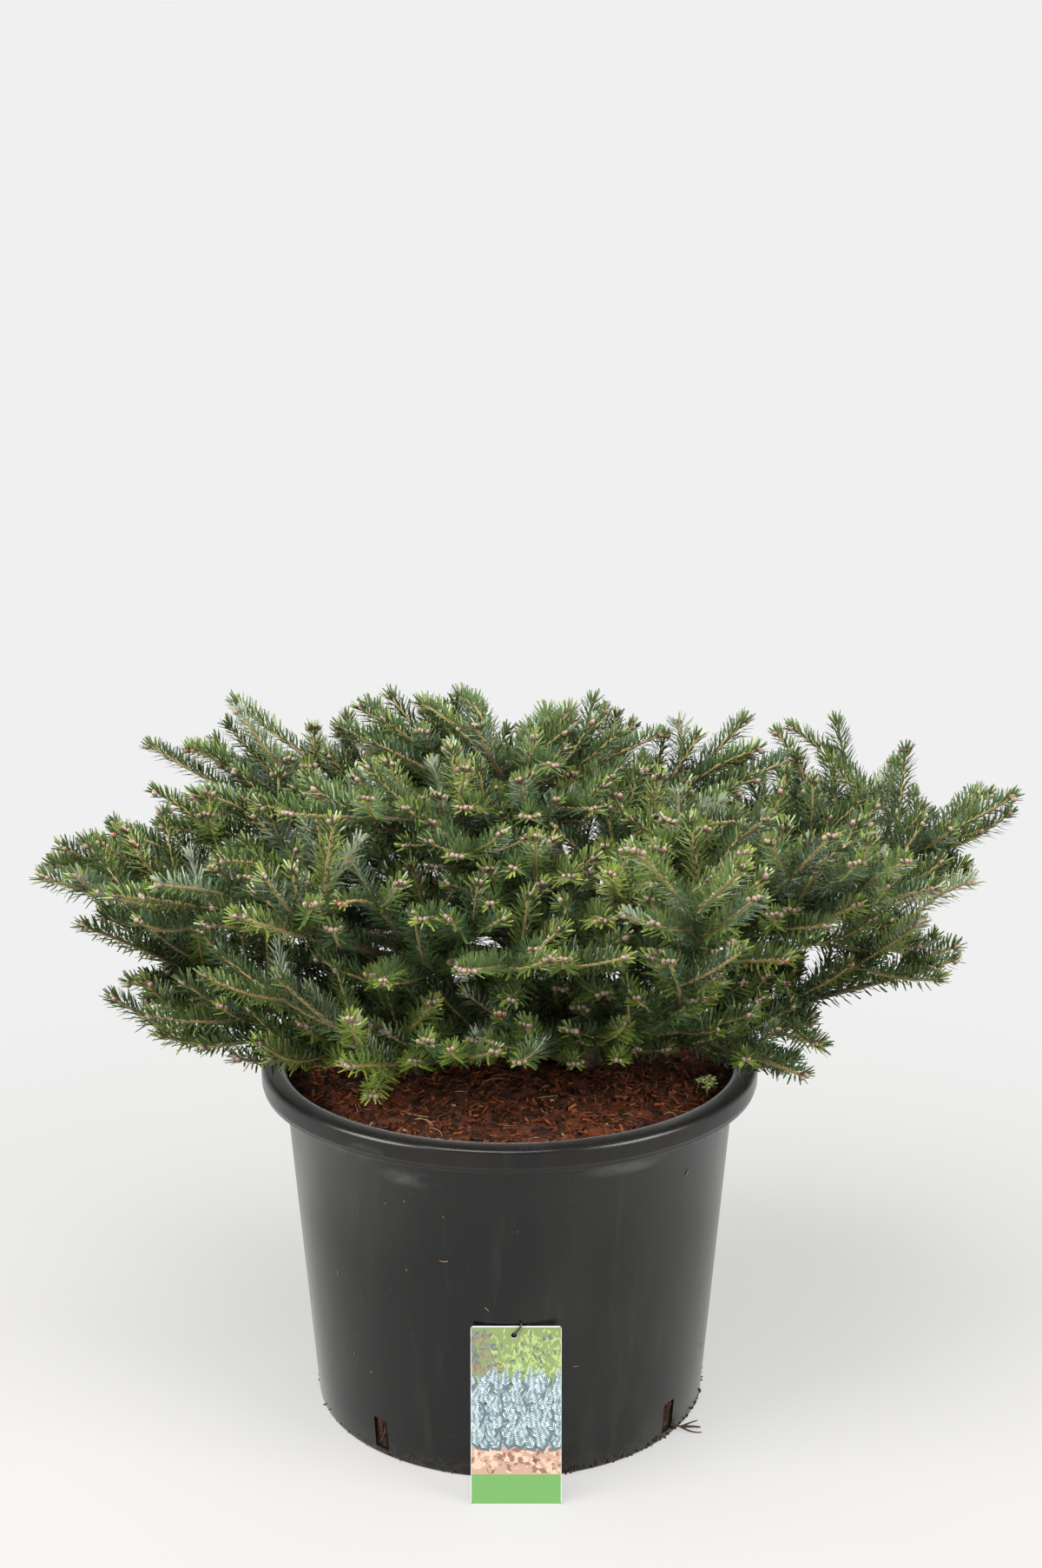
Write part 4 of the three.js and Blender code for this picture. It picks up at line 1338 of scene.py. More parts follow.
# %% The buds of all shoots
ALONG = dict(apart=120, parts=(0.15, 0.9), out=0.8, size=0.72, beige=0.6)
ROW = dict(chances=[0.14, 0.22, 0.36, 0.18, 0.10], room=11, step=3.0, looks=[0.58, 0.38, 0.04], fan=0.09)
bud_pile = Pile()
for shoot in shoots:
    if shoot["age"] < 3:
        line = Line(shoot["path"])
        for part in rng.uniform(*ALONG["parts"], rng.poisson(line.length / ALONG["apart"])):
            level, above = across(line.heading(part))
            out = unit(above * rng.uniform(0.3, 1) + level * rng.choice([-1, 1]))
            spot = line.at(part) + out * (shoot["widths"][1] + ALONG["out"])
            look = int(rng.random() < ALONG["beige"])
            add_bud(bud_pile, spot, out + line.heading(part) * 0.7, BUD["radius"] * ALONG["size"], look)
    if not shoot["tip"]:
        continue
    end, before = shoot["path"][-1], shoot["path"][-2]
    heading = unit(end - before)
    level, above = across(heading)
    count = int(rng.choice([1, 2, 3, 4, 5], p=ROW["chances"]))
    count = min(count + (shoot["order"] == 1), 1 + int(shoot["length"] / ROW["room"]))
    look = int(rng.choice([0, 1, 2], p=ROW["looks"]))
    for i in range(count):
        aside = (i - (count - 1) / 2) * ROW["step"] * rng.uniform(0.9, 1.1)
        centre = end + heading * (1.6 - abs(aside) * 0.2) + level * aside + above * rng.uniform(-0.9, 1.1)
        radius = BUD["radius"] * rng.uniform(0.85, 1.12)
        add_bud(bud_pile, centre, heading + level * aside * ROW["fan"], radius, look)
bud_pile.make("buds", bud_materials, "fir_foliage")
print(f"Buds have {bud_pile.size()} triangles.")

# %% [markdown]
# ## Bark
#
# The bark of a young fir is grey-brown and flaky, with resin blisters, and mossy in patches. A bump map alone
# would leave the outline of the trunk smooth, and sculpting would tie it to one run. So the tube's own
# points are pushed in and out by noise, and only the finest grain is left to the material.

# %% Bark material
bark = new_material("bark_grey", (0.150, 0.115, 0.080), 0.85)
graph = Graph(bark)
flakes, patches = graph.noise(160, 4), graph.noise(24, 3)
lit = graph.ramp(flakes, (0.36, (0.034, 0.022, 0.014)), (0.66, (0.190, 0.135, 0.086)))
mossy = graph.ramp(flakes, (0.36, (0.026, 0.024, 0.014)), (0.66, (0.100, 0.086, 0.054)))
colour = graph.blend(graph.fade(patches, 0.48, 0.62), lit, mossy)
graph.finish(colour, height=graph.noise(300, 5), depth=0.0014)
print("The bark has flakes and mossy patches.")

# %% The trunk and the boughs
COLLAR = dict(height=2.5, middle=16, breadth=7)
bark_pile = Pile()
parts = np.linspace(0, 1, 110)
path = Line(trunk_points).at(parts)
rise = parts * (TRUNK["top"] - soil_top)
radii = mix(TRUNK["foot"], TRUNK["tip"], parts) + TRUNK["flare"] * np.exp(-rise / TRUNK["flare_height"])
bark_pile.add(*tube(path, radii * 0.98, 56, relief=0.24, grain=5), 0)
for branch in branches:
    if branch["tier"]["share"]:
        parts = np.linspace(0, branch["tier"]["share"] * 1.04, 36)
        radii = mix(branch["tier"]["radius"], LIMB["end"], parts / branch["tier"]["share"])
        past_middle = parts * branch["line"].length - COLLAR["middle"]
        collar = COLLAR["height"] * np.exp(-(past_middle / COLLAR["breadth"]) ** 2)
        bark_pile.add(*tube(branch["line"].at(parts), (radii + collar) * 0.97, 14, relief=0.14, grain=5), 0)
limb_nodes = [f"{b['name']}_bough_{b['number']}" for b in branches if b["tier"]["share"]]
bark_pile.make("bark", [bark], "bark", ["trunk", *limb_nodes])
print(f"The bark has {bark_pile.size()} triangles.")

# %% [markdown]
# ## The pot
#
# A nursery pot is blown or moulded in one wall a few millimetres thick, wider at the top so that pots stack,
# with a rounded band as its rim and drain slots at its foot. It could be a cylinder that is scaled and given
# a Solidify modifier, but the rim would have no true section. One profile, spun round the axis with bmesh,
# has wall, rim and floor at once, and box-shaped cutters take out the slots.


# %% The pot
def wall_radius(height):
    """The radius of the tapering wall, outside."""
    return mix(POT["base"], POT["neck"], height / (POT["height"] - POT["rim_depth"]))


def spun(name, profile, steps):
    """A closed body turned about the Z axis from a profile of radius and height."""
    bm = bmesh.new()
    points = [bm.verts.new((r * MM, 0, z * MM)) for r, z in profile]
    edges = [bm.edges.new(pair) for pair in zip(points, points[1:])]
    bmesh.ops.spin(
        bm, geom=points + edges, cent=(0, 0, 0), axis=(0, 0, 1), dvec=(0, 0, 0), angle=2 * math.pi,
        steps=steps, use_merge=True,
    )
    bmesh.ops.remove_doubles(bm, verts=bm.verts, dist=1e-6)
    bmesh.ops.recalc_face_normals(bm, faces=bm.faces)
    mesh = bpy.data.meshes.new(name)
    bm.to_mesh(mesh)
    bm.free()
    mesh.polygons.foreach_set("use_smooth", np.ones(len(mesh.polygons), bool))
    return bpy.data.objects.new(name, mesh)


def arc(x, z, radius, start, end, steps):
    turns = np.radians(np.linspace(start, end, steps))
    return [(x + radius * math.cos(turn), z + radius * math.sin(turn)) for turn in turns]


def pot_profile():
    inner = wall_radius(POT["height"]) - POT["wall"]
    band = POT["height"] - POT["rim_depth"]
    return [
        # the underside, on a foot ring with a rounded edge
        (0, 0.6), (POT["base"] - 14, 0.6), (POT["base"] - 11, 0),
        *arc(POT["base"] - 2.4, 2.4, 2.4, -90, -5, 5),
        # the wall, up to the rim band
        *[(wall_radius(height), height) for height in (5, 32, 90, 170, band - 1.5)],
        (wall_radius(band) + 1.2, band + 0.2),
        # the band and the rounded rim
        *arc(POT["rim"] - 2.4, band + 1.4, 1.2, -90, 0, 4),
        (POT["rim"] - 0.5, band + 4.2), (POT["rim"] - 0.2, band + 4.6),
        *arc(POT["rim"] - 4.2, POT["height"] - 4.2, 4.2, 0, 90, 8),
        # the lip, and the inside down to the floor
        (inner + 5, POT["height"] - 0.3), (inner + 2.4, POT["height"] - 1.0),
        (inner + 0.6, POT["height"] - 3.0), (wall_radius(240) - POT["wall"], 240),
        (wall_radius(POT["floor"]) - POT["wall"], POT["floor"]), (0, POT["floor"]),
    ]


pot = spun("nursery_pot", pot_profile(), 144)
place(pot, "pot_plastic", ["pot"])
print(f"The turned pot has {len(pot.data.polygons)} faces.")


# %% The drain slots
def cut(piece, cutter):
    """Takes the cutter's shape out of the piece, and the cutter out of the scene."""
    gap = piece.modifiers.new("gap", "BOOLEAN")
    gap.object, gap.operation, gap.solver = cutter, "DIFFERENCE", "EXACT"
    bpy.context.view_layer.objects.active = piece
    bpy.ops.object.modifier_apply(modifier=gap.name)
    bpy.data.objects.remove(cutter)


middle = (SLOTS["bottom"] + SLOTS["top"]) / 2
size = Matrix.Diagonal((0.03, SLOTS["width"] * MM, (SLOTS["top"] - SLOTS["bottom"]) * MM, 1))
for i in range(SLOTS["count"]):
    bpy.ops.mesh.primitive_cube_add(size=1)
    cutter = bpy.context.object
    aim = Matrix.Rotation(math.radians(SLOTS["first"] + 360 / SLOTS["count"] * i), 4, "Z")
    cutter.data.transform(aim @ Matrix.Translation((POT["base"] * MM, 0, middle * MM)) @ size)
    cut(pot, cutter)
pot.data.set_sharp_from_angle(angle=math.radians(35))
print(f"The pot has {len(pot.data.polygons)} faces with its slots.")

# %% [markdown]
# ## The pot's plastic
#
# The plastic is satin black. Dust lies on it in clouds and faint streaks, the outer edge of the rim is worn
# pale and carries a painted highlight, pots stacked into each other have left scuffs below it, and green film
# grows near the slots. Painted masks could place all this, but the pattern would be lost with their images.
# Each kind of dirt, and the rim's highlight, is a noise between two heights, blended over the black one after
# the other, and the scuffs are soft spots at named places.

# %% Dust on black plastic
plastic = new_material("black_plastic", (0.004, 0.004, 0.004), 0.3, specular=0.36)
graph = Graph(plastic)
graph.shader.inputs["Sheen Weight"].default_value = 0.2
graph.shader.inputs["Sheen Roughness"].default_value = 0.3
axes = graph.node("SeparateXYZ", {"Vector": graph.place}, "Z")
flat = graph.node("VectorMath", {0: graph.place, 1: (1, 1, 0)}, operation="MULTIPLY")
reach = graph.node("VectorMath", {0: flat}, "Value", operation="LENGTH")
cloud, streak = graph.noise(9, 6, (1, 1, 0.35)), graph.noise(60, 5, (1, 1, 0.12))
grain, spots = graph.noise(260, 2), graph.noise(620, 1)


def dirt_and_highlight_on(colour, mask, strength, dirt):
    """Blends dirt, and the rim's painted highlight, over a colour where its mask is."""
    return graph.blend(graph.math("MULTIPLY", mask, strength), colour, dirt)


colour = graph.ramp(cloud, (0.50, (0.0034, 0.0035, 0.0034)), (0.80, (0.0185, 0.0183, 0.0170)))
colour = dirt_and_highlight_on(colour, graph.fade(streak, 0.55, 0.78), 0.45, (0.028, 0.028, 0.026))
print("Dust lies on the pot in clouds and streaks.")

# %% The worn rim with its painted highlight, and the scuffs
# Azimuth, height, width and height of each scuff.
SCUFFS = [
    (238, 263, 20, 6), (246, 239, 30, 8), (229, 250, 26, 12), (300, 246, 44, 7), (24, 244, 40, 9),
    (110, 238, 50, 10),
]
# Painted highlight: a pale line, broken by noise, along the rim's outer top edge, with some wear.
shoulder = graph.math("MULTIPLY", graph.fade(axes, 0.2728, 0.2742), graph.fade(reach, 0.1862, 0.1876))
worn_and_highlight = graph.math("MULTIPLY", shoulder, graph.fade(graph.noise(1100, 3), 0.40, 0.64))
colour = dirt_and_highlight_on(colour, worn_and_highlight, 0.30, (0.060, 0.059, 0.056))
stain = graph.math("MULTIPLY", graph.fade(axes, 0.2565, 0.2600), graph.fade(graph.noise(15, 5), 0.46, 0.66))
colour = dirt_and_highlight_on(colour, stain, 0.5, (0.0120, 0.0080, 0.0050))
smear = graph.fade(graph.noise(34, 6, (1, 1, 2.6)), 0.34, 0.66)
scuff = 0.0
for azimuth, height, wide, high in SCUFFS:
    turn = math.radians(azimuth)
    spot = [math.cos(turn) * 0.18, math.sin(turn) * 0.18, height * MM]
    scale = (1000 / wide, 1000 / wide, 1000 / high)
    away = graph.node("VectorMath", {0: graph.place, 1: spot}, operation="SUBTRACT")
    away = graph.node("VectorMath", {0: away, 1: scale}, operation="MULTIPLY")
    near = graph.fade(graph.node("VectorMath", {0: away}, "Value", operation="LENGTH"), 1.0, 0.25)
    scuff = graph.math("MAXIMUM", graph.math("MULTIPLY", near, smear), scuff)
colour = dirt_and_highlight_on(colour, scuff, 0.85, (0.105, 0.104, 0.100))
colour = graph.blend(graph.fade(spots, 0.785, 0.80), colour, (0.085, 0.080, 0.070))
print(f"The rim is worn, and {len(SCUFFS)} scuffs lie below it.")

# %% Soil and green film near the floor
low = graph.math("MULTIPLY", graph.fade(axes, 0.018, 0.0), graph.fade(grain, 0.46, 0.62))
colour = dirt_and_highlight_on(colour, low, 0.7, (0.045, 0.028, 0.018))
damp = graph.math("MULTIPLY", graph.fade(axes, 0.090, 0.020), graph.fade(graph.noise(22, 4), 0.50, 0.66))
colour = dirt_and_highlight_on(colour, damp, 0.6, (0.015, 0.022, 0.009))
sheen = graph.math("ADD", graph.math("MULTIPLY", cloud, 0.25), graph.math("MULTIPLY", scuff, 0.2))
graph.finish(colour, graph.math("ADD", sheen, 0.13), height=graph.noise(900, 2), depth=0.00006)
pot.data.materials.clear()
pot.data.materials.append(plastic)
print(f"The plastic has {len(plastic.node_tree.nodes)} nodes.")

# %% [markdown]
# ## Potting mix
#
# The mix is composted bark with wood fibre, filled to a finger's breadth below the rim and heaped a little
# round the stem. A displaced disc would do for the surface, but the export wants a closed body that fills the
# pot. So a profile is spun like the pot's own, and its upper points are pushed up and down by noise. The
# noise also picks which of three browns a face gets.


# %% The height of the mix and its materials
edge = wall_radius(SOIL["edge_height"]) - POT["wall"] - GAP


def soil_height(x, y):
    """The height of the surface without its bumps."""
    radius = np.hypot(x, y)
    middle = mix(SOIL["mound"], edge, 0.5)
    return np.interp(
        radius, (0, SOIL["mound"], middle, edge),
        (SOIL["mound_height"], SOIL["mound_height"], SOIL["slope_height"], SOIL["edge_height"]),
    )


def bump(x, y, size):
    return noise.fractal(Vector((x / size, y / size, 3.7)), 0.6, 2.1, 4)


SOILS = [
    ("soil_dark", (0.045, 0.018, 0.010)),
    ("soil_red", (0.165, 0.046, 0.018)),
    ("soil_brown", (0.095, 0.036, 0.018)),
    ("chip_orange", (0.330, 0.098, 0.030)),
    ("fibre_straw", (0.520, 0.360, 0.210)),
]
soil_materials = [new_material(name, colour, 0.9, specular=0.25) for name, colour in SOILS]
for material, (name, colour) in zip(soil_materials, SOILS):
    graph = Graph(material)
    pale, dim = [tuple(part * value for value in colour) for part in (1.35, 0.55)]
    crumbs = graph.noise(700, 4)
    graph.finish(graph.ramp(crumbs, (0.36, dim), (0.66, pale)), height=crumbs, depth=0.0005)
print(f"The mix is {2 * edge:.0f} mm wide at the wall.")

# %% The surface of the mix
SHEET = dict(rings=56, spokes=150, sunk=1.6, bumps=3.0, bump_size=14, calm=4, patch=9, region=55, mixed=0.12)
surface_from = SOIL["edge_height"] - 4
profile = [(r, float(soil_height(r, 0)) - SHEET["sunk"]) for r in np.linspace(0, edge, SHEET["rings"] + 1)]
for level in (SLOTS["top"] + 6, POT["floor"] + GAP):
    profile.append((wall_radius(level) - POT["wall"] - GAP, level))
profile.append((0, POT["floor"] + GAP))
sheet = spun("potting_mix", profile, SHEET["spokes"])

# The turned sheet is pushed up and down in small bumps that calm down towards the wall.
bm = bmesh.new()
bm.from_mesh(sheet.data)
for vertex in bm.verts:
    x, y, z = vertex.co / MM
    ring = math.hypot(x, y) / edge * SHEET["rings"]
    if z > surface_from and ring > 0.5:
        lift = min(1.0, (SHEET["rings"] - ring) / SHEET["calm"])
        vertex.co.z += lift * SHEET["bumps"] * bump(x, y, SHEET["bump_size"]) * MM
bmesh.ops.triangulate(bm, faces=bm.faces)
for face in bm.faces:
    spot = face.calc_center_median() / MM
    tint, warm = noise.noise(spot / SHEET["patch"]), noise.noise(spot / SHEET["region"])
    look = 1 if tint + 0.5 * warm > SHEET["mixed"] else 0 if tint < -SHEET["mixed"] else 2
    face.material_index = 0 if spot.z < surface_from else look
bm.to_mesh(sheet.data)
bm.free()
for material in soil_materials[:3]:
    sheet.data.materials.append(material)
place(sheet, "potting_soil", ["soil"])
print(f"The potting mix has {len(sheet.data.polygons)} triangles.")

# %% [markdown]
# ## Chips and fibres
#
# What makes the mix look like bark is its loose top: thousands of flat chips, most of them reddish brown, a
# few pale as straw, and fibres that curl over them. Instances of a few chips would be lighter, but the export
# drops instances. Each chip is a box with crooked corners of its own, tossed on the surface by the dice.

# %% Chips
CHIPS = dict(count=3600, length=(2.2, 9), width=(0.6, 2.3), thick=(0.35, 1.1), tilt=20, crooked=(-0.3, 0.2))
bits = Pile()


def spot_on_soil():
    radius, turn = math.sqrt(rng.random()) * (edge - 5), rng.uniform(0, 2 * math.pi)
    return radius * math.cos(turn), radius * math.sin(turn)


BOX_FACES = [
    (0, 2, 1), (0, 3, 2), (4, 5, 6), (4, 6, 7), (0, 1, 5), (0, 5, 4),
    (1, 2, 6), (1, 6, 5), (2, 3, 7), (2, 7, 6), (3, 0, 4), (3, 4, 7),
]
for _ in range(CHIPS["count"]):
    x, y = spot_on_soil()
    long, wide, thick = (rng.uniform(*CHIPS[key]) for key in ("length", "width", "thick"))
    corners = np.array([(-1, -1), (1, -0.8), (1, 0.9), (-1, 1)])
    corners = corners * (1 + rng.uniform(*CHIPS["crooked"], (4, 2)))
    corners = corners * (long / 2, wide / 2)
    box = np.concatenate([np.c_[corners, np.zeros(4)], np.c_[corners, np.full(4, thick)]])
    turn = Matrix.Rotation(rng.uniform(0, 2 * math.pi), 3, "Z")
    turn = turn @ Matrix.Rotation(math.radians(rng.normal(0, CHIPS["tilt"])), 3, "Y")
    turn = turn @ Matrix.Rotation(math.radians(rng.normal(0, CHIPS["tilt"])), 3, "X")
    box = box @ np.array(turn).T + (x, y, soil_height(x, y) + rng.uniform(-0.9, 0.9))
    warm_here = noise.noise(Vector((x / 40, y / 40, 8))) + (0.35 if x > 40 and y < -60 else -0.1)
    tint = rng.choice([0, 1, 2, 3, 4], p=[0.22, 0.34, 0.30, 0.12, 0.02])
    if warm_here > 0.1 and rng.random() < 0.5:
        tint = 3 if rng.random() < 0.5 else 1
    bits.add(box, BOX_FACES, int(tint))
print(f"{CHIPS['count']} chips lie on the mix.")

# %% Fibres
FIBRES = dict(count=620, length=(6, 24), width=(0.3, 0.65), points=6)
for _ in range(FIBRES["count"]):
    x, y = spot_on_soil()
    long, wide = rng.uniform(*FIBRES["length"]), rng.uniform(*FIBRES["width"])
    turn, curl = rng.uniform(0, 2 * math.pi), rng.normal(0, 1.1)
    t = np.linspace(-0.5, 0.5, FIBRES["points"])
    headings = turn + curl * t
    line = np.c_[np.cumsum(np.cos(headings)), np.cumsum(np.sin(headings))] * long / FIBRES["points"]
    line += (x, y) - line.mean(0)
    line = line * np.minimum(1, (edge - 4) / np.maximum(1, np.hypot(*line.T)))[:, None]
    lift = soil_height(*line.T) + 0.7 + rng.uniform(0, 1.6) * np.sin(np.pi * (t + 0.5))
    tint = int(rng.choice([1, 2, 3, 4], p=[0.38, 0.32, 0.17, 0.13]))
    points, faces = tube(np.c_[line, lift], np.full(FIBRES["points"], wide / 2), 4)
    bits.add(points, faces, tint)
bits.make("soil_bits", soil_materials, "potting_soil", smooth=False)
print(f"Chips and fibres have {bits.size()} triangles.")

# %% [markdown]
# ## Roots and crumbs
#
# Fine roots fill the drain slots, one of them has grown out, and crumbs of mix stick to the foot of the wall
# with a few loose fibres higher up. Each is a thin tube. They could be instances of one root, but a real root
# ball repeats nothing, so each line is drawn by the same seeded dice.

# %% Roots in the slots
ROOTS = [
    ("root_tan", (0.130, 0.080, 0.046)),
    ("root_dark", (0.040, 0.022, 0.014)),
    ("bit_orange", (0.260, 0.145, 0.070)),
]
root_materials = [new_material(name, colour, 0.85, specular=0.25) for name, colour in ROOTS]
SLOT_ROOTS = dict(count=22, length=(5, 13), width=(0.35, 0.9), spread=4.6, inside=2.3)
OVER_FLOOR = 0.05
roots = Pile()


def on_wall(azimuth, height, out=0.0):
    turn, radius = math.radians(azimuth), wall_radius(height) + out
    return np.array([radius * math.cos(turn), radius * math.sin(turn), height])


def wander(start, end, width, tint, bow=0.0):
    """A root from start to end that bows to one side by a part of its length."""
    middle = (start + end) / 2 + rng.normal(0, 1, 3) * bow * np.linalg.norm(end - start)
    points, faces = tube(bent(start, middle, end, 6), np.linspace(width, width * 0.5, 6) / 2, 5)
    points[:, 2] = np.maximum(points[:, 2], OVER_FLOOR)
    roots.add(points, faces, tint)


for i in range(SLOTS["count"]):
    azimuth = SLOTS["first"] + 360 / SLOTS["count"] * i
    for _ in range(SLOT_ROOTS["count"]):
        ends = []
        for _ in range(2):
            height = rng.uniform(SLOTS["bottom"] + 1, SLOTS["top"] - 1)
            aside = math.degrees(rng.uniform(-1, 1) * SLOT_ROOTS["spread"] / POT["base"])
            ends.append(on_wall(azimuth + aside, height, -rng.uniform(0.2, SLOT_ROOTS["inside"])))
        wander(*ends, rng.uniform(*SLOT_ROOTS["width"]), int(rng.choice([0, 1], p=[0.45, 0.55])), 0.12)
print(f"{SLOTS['count']} slots hold {SLOT_ROOTS['count']} roots each.")

# %% The stray root, loose bits and crumbs
# The root that has grown out of the right front slot lies on the floor, with two side roots.
STRAY = [on_wall(324, 8, -2), on_wall(327, 4, 4), on_wall(331, 1.3, 15)]
for start, end, width in [(0, 1, 3.0), (1, 2, 2.6)]:
    wander(STRAY[start], STRAY[end], width, 1, 0.05)
for azimuth, out in ((334, 9), (329, 19)):
    wander(STRAY[1], on_wall(azimuth, 1.0, out), 1.7, 1, 0.08)

# Loose bits on the wall: azimuth, height and length.
WALL_BITS = [
    (255, 178, 6), (319, 222, 5), (264, 143, 4), (287, 91, 4), (342, 55, 4), (244, 220, 2), (254, 214, 2),
]
WALL_BITS += [(rng.uniform(0, 360), rng.uniform(20, 240), rng.uniform(1, 3.5)) for _ in range(14)]
for azimuth, height, length in WALL_BITS:
    turn = rng.uniform(0, 2 * math.pi)
    along = math.degrees(length * math.cos(turn) / POT["base"])
    far_end = on_wall(azimuth + along, height + length * math.sin(turn), 0.3)
    wander(on_wall(azimuth, height, 0.2), far_end, 0.7, 2, 0.08)
CRUMBS = dict(count=260, at=330, spread=38, gathered=0.6)
for _ in range(CRUMBS["count"]):
    gathered = rng.random() < CRUMBS["gathered"]
    azimuth = rng.normal(CRUMBS["at"], CRUMBS["spread"]) if gathered else rng.uniform(0, 360)
    height, size = abs(rng.normal(0, 2.5)) + 0.9, rng.uniform(0.8, 2.6)
    start = on_wall(azimuth, height, 0.2 - max(0, 3.5 - height) * 0.5)
    wander(start, start + rng.normal(0, 0.5, 3) * size, size, 1, 0.1)
lowest = min(points[:, 2].min() for points in roots.points)
roots.make("roots_and_crumbs", root_materials, "potting_soil")
print(f"Roots and crumbs have {roots.size()} triangles and reach down to {lowest:.2f} mm.")

# %% [markdown]
# ## A weed
#
# A weed with pale round leaves has sprouted at the edge of the mix. It could be a textured card, but from
# above a card shows no leaves. Each leaf is a fan of twelve triangles with a raised middle.

# %% The weed at the edge of the mix
WEED = dict(x=152, y=-54, stems=7, leaves=4, stem=9, leaf=5.5, width=3.4)
WEED_LOOKS = [
    ("weed_leaf", (0.300, 0.370, 0.100)),
    ("weed_leaf_pale", (0.420, 0.460, 0.150)),
    ("weed_stem", (0.220, 0.250, 0.090)),
]
LEAF_OUTLINE = [(0, 0), (0.3, -0.8), (0.7, -1), (1, 0), (0.7, 1), (0.3, 0.8)]
weed_materials = [new_material(name, colour, 0.5) for name, colour in WEED_LOOKS]
weed = Pile()
for _ in range(WEED["stems"]):
    foot = np.array([WEED["x"], WEED["y"], 0]) + np.r_[rng.normal(0, 6, 2), 0]
    foot = foot * np.array([1, 1, 0]) + UP * (soil_height(foot[0], foot[1]) - 0.5)
    tip = foot + np.array([*rng.normal(0, 3, 2), WEED["stem"] * rng.uniform(0.6, 1.1)])
    points, faces = tube(mix(foot, tip, np.linspace(0, 1, 4)[:, None]), [0.5, 0.45, 0.4, 0.3], 5)
    weed.add(points, faces, 2)
    for leaf in range(WEED["leaves"]):
        turn, rise = 2 * math.pi * leaf / WEED["leaves"] + rng.uniform(-0.4, 0.4), rng.uniform(0.1, 0.5)
        onward = unit(np.array([math.cos(turn), math.sin(turn), rise]))
        level, above = across(onward)
        size, half = WEED["leaf"] * rng.uniform(0.7, 1.1), WEED["width"] / 2
        ring = [
            tip + onward * size * t + level * half * w - above * size * 0.2 * t**2 for t, w in LEAF_OUTLINE
        ]
        middle = tip + onward * size * 0.5
        points = np.array([*ring, middle + above * 0.5, middle - above * 0.3])
        faces = [(6, i, (i + 1) % 6) for i in range(6)] + [(7, (i + 1) % 6, i) for i in range(6)]
        weed.add(points, faces, int(rng.random() < 0.4))
weed.make("weed_seedling", weed_materials, "fir_foliage")
print(f"The weed has {weed.size()} triangles.")

# %% [markdown]
# ## The label
#
# The label is a thin plastic card with a punched hole, tied so that it leans on the pot. Its print could be
# an image, but every mark on it has to be free of names, and small shapes of plain colour keep sharp at any
# distance. The card itself is a bevelled box with a hole cut through it.

# %% The card
LABEL_EDGES = dict(hole=2.1, corner=2)
half, tall, thick = LABEL["width"] / 2, LABEL["height"], LABEL["thickness"] / 2
hole = (LABEL["hole_aside"], tall - LABEL["hole_down"])
blank = bmesh.new()
bmesh.ops.create_cube(blank, size=1)
size = Matrix.Diagonal((LABEL["width"], LABEL["thickness"], tall, 1))
blank.transform(Matrix.Scale(MM, 4) @ Matrix.Translation((0, 0, tall / 2)) @ size)
corners = [edge for edge in blank.edges if abs(edge.verts[0].co.y - edge.verts[1].co.y) > thick * MM]
bmesh.ops.bevel(
    blank, geom=corners, offset=LABEL_EDGES["corner"] * MM, segments=4, profile=0.5, affect="EDGES",
    material=-1,
)
label = bpy.data.objects.new("plant_label", bpy.data.meshes.new("plant_label"))
blank.to_mesh(label.data)
place(label, "label_card", ["label"])
bpy.ops.mesh.primitive_cylinder_add(vertices=32, radius=LABEL_EDGES["hole"] * MM, depth=0.01)
cutter = bpy.context.object
upright = Matrix.Translation((hole[0] * MM, 0, hole[1] * MM)) @ Matrix.Rotation(math.pi / 2, 4, "X")
cutter.data.transform(upright)
cut(label, cutter)
print(f"The blank card has {len(label.data.polygons)} faces.")

# %% [markdown]
# ## The print on the label
#
# Above a plain green band is a generic design: tan lozenges, rows of pale blue-grey sprigs, and soft leaf
# greens behind them. Thin shapes could be cut into the card's face, which would make it hard to change. They
# lie on it as flat shapes in layers a few hundredths of a millimetre apart instead.

# %% Printing on the card
PRINTS = [
    ("print_edge", (0.720, 0.740, 0.720)),
    ("print_band", (0.118, 0.285, 0.080)),
    ("print_tan", (0.420, 0.260, 0.185)),
    ("print_brown", (0.220, 0.115, 0.080)),
    ("print_mist", (0.230, 0.310, 0.350)),
    ("print_ice", (0.520, 0.630, 0.670)),
    ("print_slate", (0.085, 0.125, 0.135)),
    ("print_moss", (0.180, 0.240, 0.085)),
    ("print_taupe", (0.190, 0.155, 0.150)),
    ("print_leaf", (0.330, 0.420, 0.150)),
    ("print_sand", (0.560, 0.400, 0.300)),
]
print_materials = [new_material(name, colour, 0.3, coat=0.25) for name, colour in PRINTS]
EDGE, BAND, TAN, BROWN, MIST, ICE, SLATE, MOSS, TAUPE, LEAF, SAND = range(len(PRINTS))
FILM = 0.03
MARGIN = 0.3
card = Pile()
stand = Matrix.Translation((LABEL["middle"], LABEL["foot"], GAP))
lean = np.array(stand @ Matrix.Rotation(-math.radians(LABEL["lean"]), 4, "X"))


def leaned(points):
    """Points of the upright card where it leans on the pot."""
    points = np.asarray(points, float).reshape(-1, 3)
    return points @ lean[:3, :3].T + lean[:3, 3]


def clear_of_hole(points):
    return np.hypot(points[:, 0] - hole[0], points[:, 1] - hole[1]).min() > LABEL_EDGES["hole"] + 0.6


